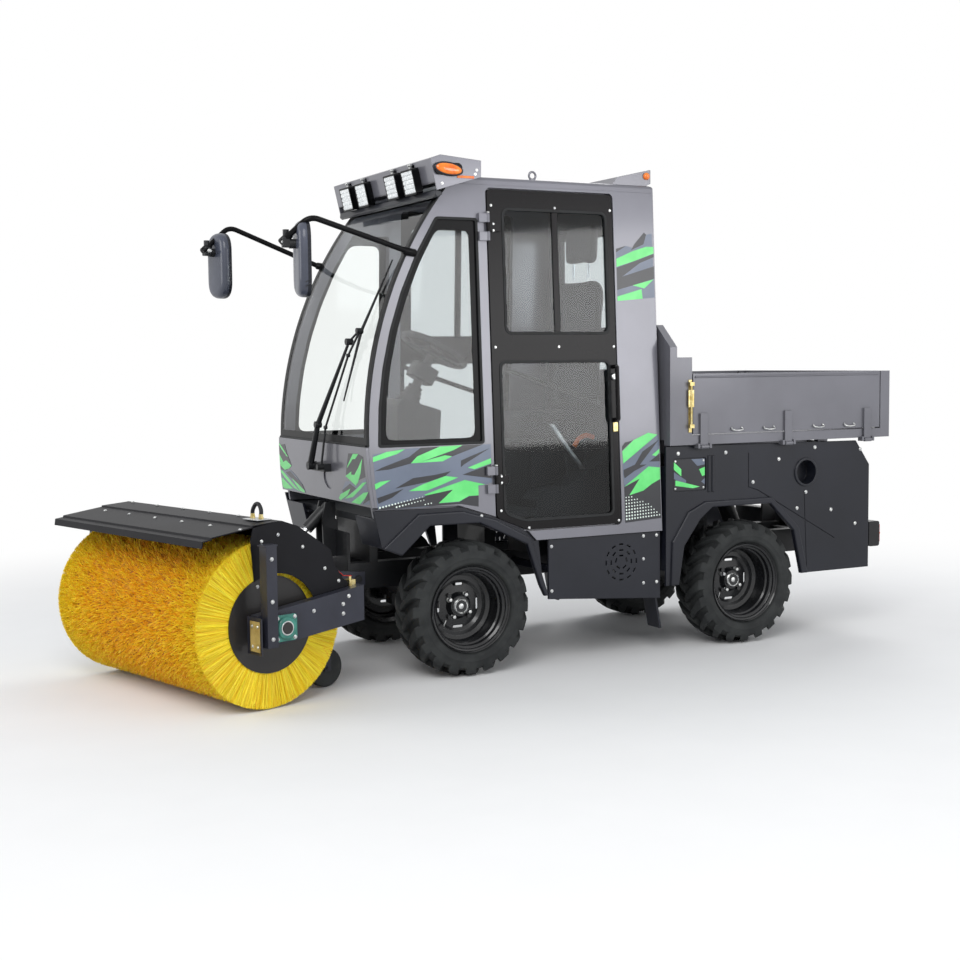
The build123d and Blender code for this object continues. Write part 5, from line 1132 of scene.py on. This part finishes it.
def seat():
    """The three pads, each blown up as cloth and then sewn, and the headrest's two posts."""
    for label, centre, half, thin, local, node, lines in PADS:
        depth, wide, high = half
        corner = min(wide, high) * 0.42
        form = Form()
        rings = []
        for along, less in PAD_RINGS:
            outline = rounded(oblong(wide - less, high - less), corner - less, 8)
            rings.append([Vector(centre) + in_pad(thin, along * depth, a, b) for a, b in outline])
        form.loft(rings)
        place = VEHICLE @ local
        bmesh.ops.recalc_face_normals(form.bm, faces=form.bm.faces)
        form.bm.transform(place)
        mesh = bpy.data.meshes.new(label)
        form.bm.to_mesh(mesh)
        form.bm.free()
        mesh = swollen("seat_" + label, mesh, PAD_VOXEL, PAD_SWELL)
        sewn(mesh, place, centre, thin, lines)
        replaced = (node,) if node else ()
        made = ready("seat_" + label + "_pad", mesh, "chassis", "seat_vinyl", angle=60, replaces=replaced)
        piping(mesh, place, centre, half, thin, "seat_" + label + "_piping")
    posts = Form()
    for y in (70, -70):
        posts.bar((0, y, 670), (0, y, 752), 7)
    piece("headrest_posts", posts, "chassis", "rod_chrome", place=VEHICLE @ RECLINE)


# Small controls, and the trim of the doors


def controls():
    """The knobs of the levers, the orange grip and the bracket of two strips under the levers."""
    for side, label in SIDES:
        knobs = Form()
        for x in (-600, -730):
            knobs.turned([(-26, 0), (-26, 11), (-12, 17), (6, 19), (18, 13), (22, 0)], (x, side * 330, 1120),
                         (0, 0, 1), 20)
        piece(f"lever_knobs_{label}", knobs, "chassis", "black_enamel")
    grip = Form()
    grip.tube([(-663, 345, 1000), (-690, 345, 1036), (-730, 345, 1050), (-770, 345, 1040)], 12, 12)
    piece("orange_grip", grip, "chassis", "orange_plastic")
    bracket = Form()
    for y in (352, 372):
        bracket.loft([[(x - 9, y + t, z), (x + 9, y + t, z), (x + 9, y + t + 3, z), (x - 9, y + t + 3, z)]
                      for x, z, t in ((-528, 1110, 0), (-610, 1000, 0), (-702, 890, 0))])
    piece("lever_bracket", bracket, "chassis", "zinc", bevel=0.6)


DOOR_SCREWS = ((-148, 2098), (-772, 2098), (-772, 1470), (-148, 1470), (-772, 660), (-290, 655), (-150, 740),
               (-476, 2098), (-476, 1470))


def door_trim():
    """The lock's knob and box, the pull screws, the hinge pins' caps and the screws round each door."""
    metal, brass = Form(), Form()
    for x, z in DOOR_SCREWS:
        metal.bolt(on_side(x, z, 0.2), SIDE_OUT, 5, 4)
    for z in (880, ROOF_Z - 222):
        for up in (-40, 40):
            metal.bolt(on_side(-150, z + up * 0.35, 12), SIDE_OUT, 5.5, 5)
        top = on_side(-125, z + 62, 13)
        metal.turned([(0, 0), (0, 8), (4, 8), (7, 5), (8, 0)], top, SIDE_UP, 16)
    metal.turned([(0, 0), (0, 17), (10, 16), (13, 12), (13, 0)], on_side(-768, 1330, 0.2), SIDE_OUT, 24)
    pair("door_screws", metal, "door_left", "zinc", bevel=0.5)
    low, high = 1075, 1118
    brass.loft([[on_side(x, z, out) for x, z in ((-778, low), (-752, low), (-752, high), (-778, high))]
                for out in (0.2, 9)])
    pair("door_latch", brass, "door_left", "yellow_zinc", bevel=1.5)


# Bolts and fittings on the body


FENDER_BOLTS = ((78, 721), (-50, 722), (-210, 628))
SKIRT_BOLTS = ((-412, 354), (-412, 560), (-915, 576), (-915, 467), (-915, 352), (-990, 576), (-990, 352))
BODY_BOLTS = ((-1933, 960), (-1705, 910), (-1545, 803), (-1877, 737), (-1821, 659), (-1245, 690),
              (-1100, 960), (-1380, 955), (-2040, 640), (-2200, 560), (-2230, 940))
POCKET = ((-1265, -1073), (778, 936))
LATCH_X = -1150
HOOKS_X = (-1425, -1620, -1930, -2130)
TAIL_Y, TAIL_Z = 500, 495


def body_bolts():
    """Bolts on the fenders, the side skirts and the rear bodies."""
    metal = Form()
    for x, z in FENDER_BOLTS:
        metal.bolt((x, 560, z), (0, 1, 0), 6.5, 5)
    for x, z in SKIRT_BOLTS:
        metal.bolt((x, SKIRT_Y - 0.3, z), (0, 1, 0), 6.5, 5)
    for x, z in BODY_BOLTS:
        metal.bolt((x, BODY_Y - 0.3, z), (0, 1, 0), 7.5, 5)
    pair("body_bolts", metal, "chassis", "zinc", bevel=0.5)


def pocket_plate():
    """The plate in the rear body's pocket: a bare field with bands of stripes at its ends."""
    (rear, front), (low, high) = POCKET
    y = BODY_Y - 8
    field, green, slate = Form(), Form(), Form()
    corners = [(rear + 5, low + 5), (front - 5, low + 5), (front - 5, high - 5), (rear + 5, high - 5)]
    outline = rounded(corners, 10, 4)
    field.plate([(x, y + 0.3, z) for x, z in outline], (0, 2, 0))
    shards = (
        (green, [(-1079, 920), (-1079, 884), (-1122, 850), (-1122, 884)], 0.3),
        (slate, [(-1079, 872), (-1079, 840), (-1150, 800), (-1150, 830)], 0.3),
        (green, [(-1088, 832), (-1088, 806), (-1190, 790), (-1230, 796)], 0.5),
        (slate, [(-1259, 930), (-1180, 930), (-1216, 896), (-1259, 902)], 0.3),
        (green, [(-1259, 890), (-1226, 880), (-1244, 846), (-1259, 850)], 0.5),
        (slate, [(-1259, 836), (-1238, 820), (-1259, 806)], 0.3),
    )
    for form, corners, lift in shards:
        form.plate([(x, y + 2.35, z) for x, z in corners], (0, lift, 0))
    for name, form, material in (("field", field, "stripe_dark"), ("green", green, "stripe_green"),
                                 ("slate", slate, "stripe_slate")):
        pair(f"pocket_{name}", form, "chassis", material)
    screws = Form()
    for x in (rear + 14, front - 14):
        for z in (low + 14, high - 14):
            screws.bolt((x, y + 2.4, z), (0, 1, 0), 4.5, 4)
    pair("pocket_screws", screws, "chassis", "zinc", bevel=0.4)


def bed_fittings():
    """The bed's corner latches, and the drop sides' hooks and the bead along their top."""
    latch, hooks, seams = Form(), Form(), Form()
    x = LATCH_X
    latch.block((x - 9, x + 9), (BED_Y + 0.3, BED_Y + 5), (1060, 1310))
    latch.block((x - 16, x + 16), (BED_Y + 5, BED_Y + 13), (1180, 1262))
    latch.bar((x, BED_Y + 13, 1090), (x, BED_Y + 13, 1300), 5.5, 12)
    for z in (1090, 1290):
        latch.block((x - 13, x + 13), (BED_Y + 5, BED_Y + 21), (z - 9, z + 9))
    pair("bed_latch", latch, "bed", "yellow_zinc", bevel=1)
    for x in HOOKS_X:
        hooks.tube([(x - 30, BED_Y + 1.5, 1076), (x - 30, BED_Y + 12, 1066), (x, BED_Y + 14, 1062),
                    (x + 30, BED_Y + 12, 1066), (x + 30, BED_Y + 1.5, 1076)], 4, 10)
    pair("gate_hooks", hooks, "gate_left", "zinc")
    seams.tube([(x, BED_Y + 0.5, 1322) for x in (-1180, -1700, -2322)], 5, 10)
    pair("gate_bead", seams, "gate_left", "bed_paint")


def rear_lamps():
    """The tail lamps' round lenses and the two small lamps on the rear visor."""
    red, amber = Form(), Form()
    rear = (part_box("tail_lamps")[0].x - AXLE_X) / MM
    for side in (1, -1):
        for k in range(5):
            y = side * TAIL_Y - 40 + 20 * k
            form = amber if k in (0, 4) else red
            form.bar((rear - 0.2, y, TAIL_Z), (rear - 4.0, y, TAIL_Z), 8.6, 20)
    piece("tail_lenses", red, "chassis", "red_lens")
    piece("tail_ambers", amber, "chassis", "amber_lens")
    dome = Form()
    for side in (1, -1):
        dome.turned([(-2, 0), (-2, 17), (6, 17), (12, 13), (15, 6), (16, 0)],
                    (CAB_REAR + 24, side * (ROOF_Y - 17), ROOF_Z + 46), (0, side, 0), 20)
    piece("visor_ambers", dome, "chassis", "amber_lens")


# Brush fittings


END_S, LEG_S, PLATE_S, BEARING_S = 678, 726, 623, 692.2
END_BOLTS = ((-150, 400), (-300, 410), (-330, 440), (-300, 370), (100, 380), (96, 300))
PLATE_BOLTS = ((-20, 720), (60, 700), (84, 520), (-250, 560), (-320, 500), (-140, 660))
HOSE_ROUTE = ((0, 474, 786), (0, 476, 812), (-4, 492, 836), (-6, 512, 836), (-4, 530, 814), (0, 534, 786))


def brush_fittings():
    """The brush unit's bolts, bearings and end plates, the hood's plate and hose, and the water valve."""
    metal, green, ochre, pale = Form(), Form(), Form(), Form()
    for k in range(6):
        s = 220 * k - 550
        metal.bolt((-24, s, 775.2), (0, 0, 1), 7, 5)
        metal.bolt((150, s + 60, 753.4), (0.13, 0, 1), 7, 5)
    for side in (1, -1):
        for u, z in END_BOLTS:
            metal.bolt((u, side * END_S, z), (0, side, 0), 7, 6)
        for z in (320, 470, 640):
            metal.bolt((83, side * LEG_S, z), (0, side, 0), 7, 6)
        for u, z in PLATE_BOLTS:
            metal.bolt((u, side * PLATE_S, z), (0, side, 0), 6, 5)
        hub = Vector((0, side * BEARING_S, BRUSH_Z))
        corners = rounded(oblong(54, 54), 16, 5)
        green.plate([hub + Vector((a, 0, b)) for a, b in corners], (0, side * 4, 0))
        green.turned([(4, 26), (4, 46), (10, 45), (14, 41), (14, 26)], hub, (0, side, 0), 32)
        for a, b in oblong(42, 42):
            metal.bolt(hub + Vector((a, side * 4, b)), (0, side, 0), 7, 7)
        ring = [(13.8, 24.2), (13.8, 29), (14.8, 30), (15.8, 29), (15.8, 24.2)]
        metal.turned(ring, hub, (0, side, 0), 28)
        ochre.block((131.3, 134.5), sorted((side * 640, side * 706)), (270, 392))
        for z in (290, 372):
            for s in (655, 692):
                pale.bolt((134.5, side * s, z), (1, 0, 0), 6, 5)
    plate, hose, brass = Form(), Form(), Form()
    plate.block((-34, 34), (452, 560), (775.3, 778.5))
    hose.tube(HOSE_ROUTE, 8.5, 12)
    for s in (474, 534):
        brass.turned([(0, 0), (0, 12), (9, 12), (10, 10), (20, 10), (20, 0)], (0, s, 778.5), (0, 0, 1), 6)
    valve, handle = Form(), Form()
    valve.block((-402, -370), (592, 632), (470.5, 498))
    valve.turned([(0, 0), (0, 10), (22, 10), (24, 7), (24, 0)], (-386, 590, 484), (0, -1, 0), 6)
    valve.turned([(0, 0), (0, 8), (12, 8), (14, 5), (14, 0)], (-386, 612, 498), (0, 0, 1), 16)
    handle.loft([[Vector((-386 + a, 612 + b, z)) for a, b in oblong(7, 6)] for z in (511, 514)])
    handle.loft([[Vector((u, 612 + b, z + c)) for b, c in ((-6, 0), (6, 0), (6, 3), (-6, 3))]
                 for u, z in ((-390, 511), (-350, 516), (-322, 540), (-300, 545))])
    for name, made, material, bevel in (
            ("water_valve", valve, "yellow_zinc", 0.8), ("valve_handle", handle, "red_plastic", 0.8),
            ("hood_plate", plate, "pale_plate", 0.8), ("hood_hose", hose, "hose_rubber", 0.0),
            ("hood_hose_ends", brass, "yellow_zinc", 0.6), ("brush_bolts", metal, "zinc", 0.5),
            ("brush_bearings", green, "bearing_green", 1), ("brush_end_plates", ochre, "ochre_paint", 0.8),
            ("brush_end_bolts", pale, "zinc", 0.5)):
        piece(name, made, "brush_unit", material, place=BRUSH, bevel=bevel)


bpy.context.scene.view_settings.view_transform = "Standard"
finish_nodes()
camera()
studio()
wheels()
bristles()
side_borders()
windscreen_border()
cab_paintwork()
visor_lamps()
for side, label in SIDES:
    end_lamp(side, label)
for row in MIRRORS:
    mirror_head(*row)
seat()
controls()
door_trim()
body_bolts()
pocket_plate()
bed_fittings()
rear_lamps()
brush_fittings()
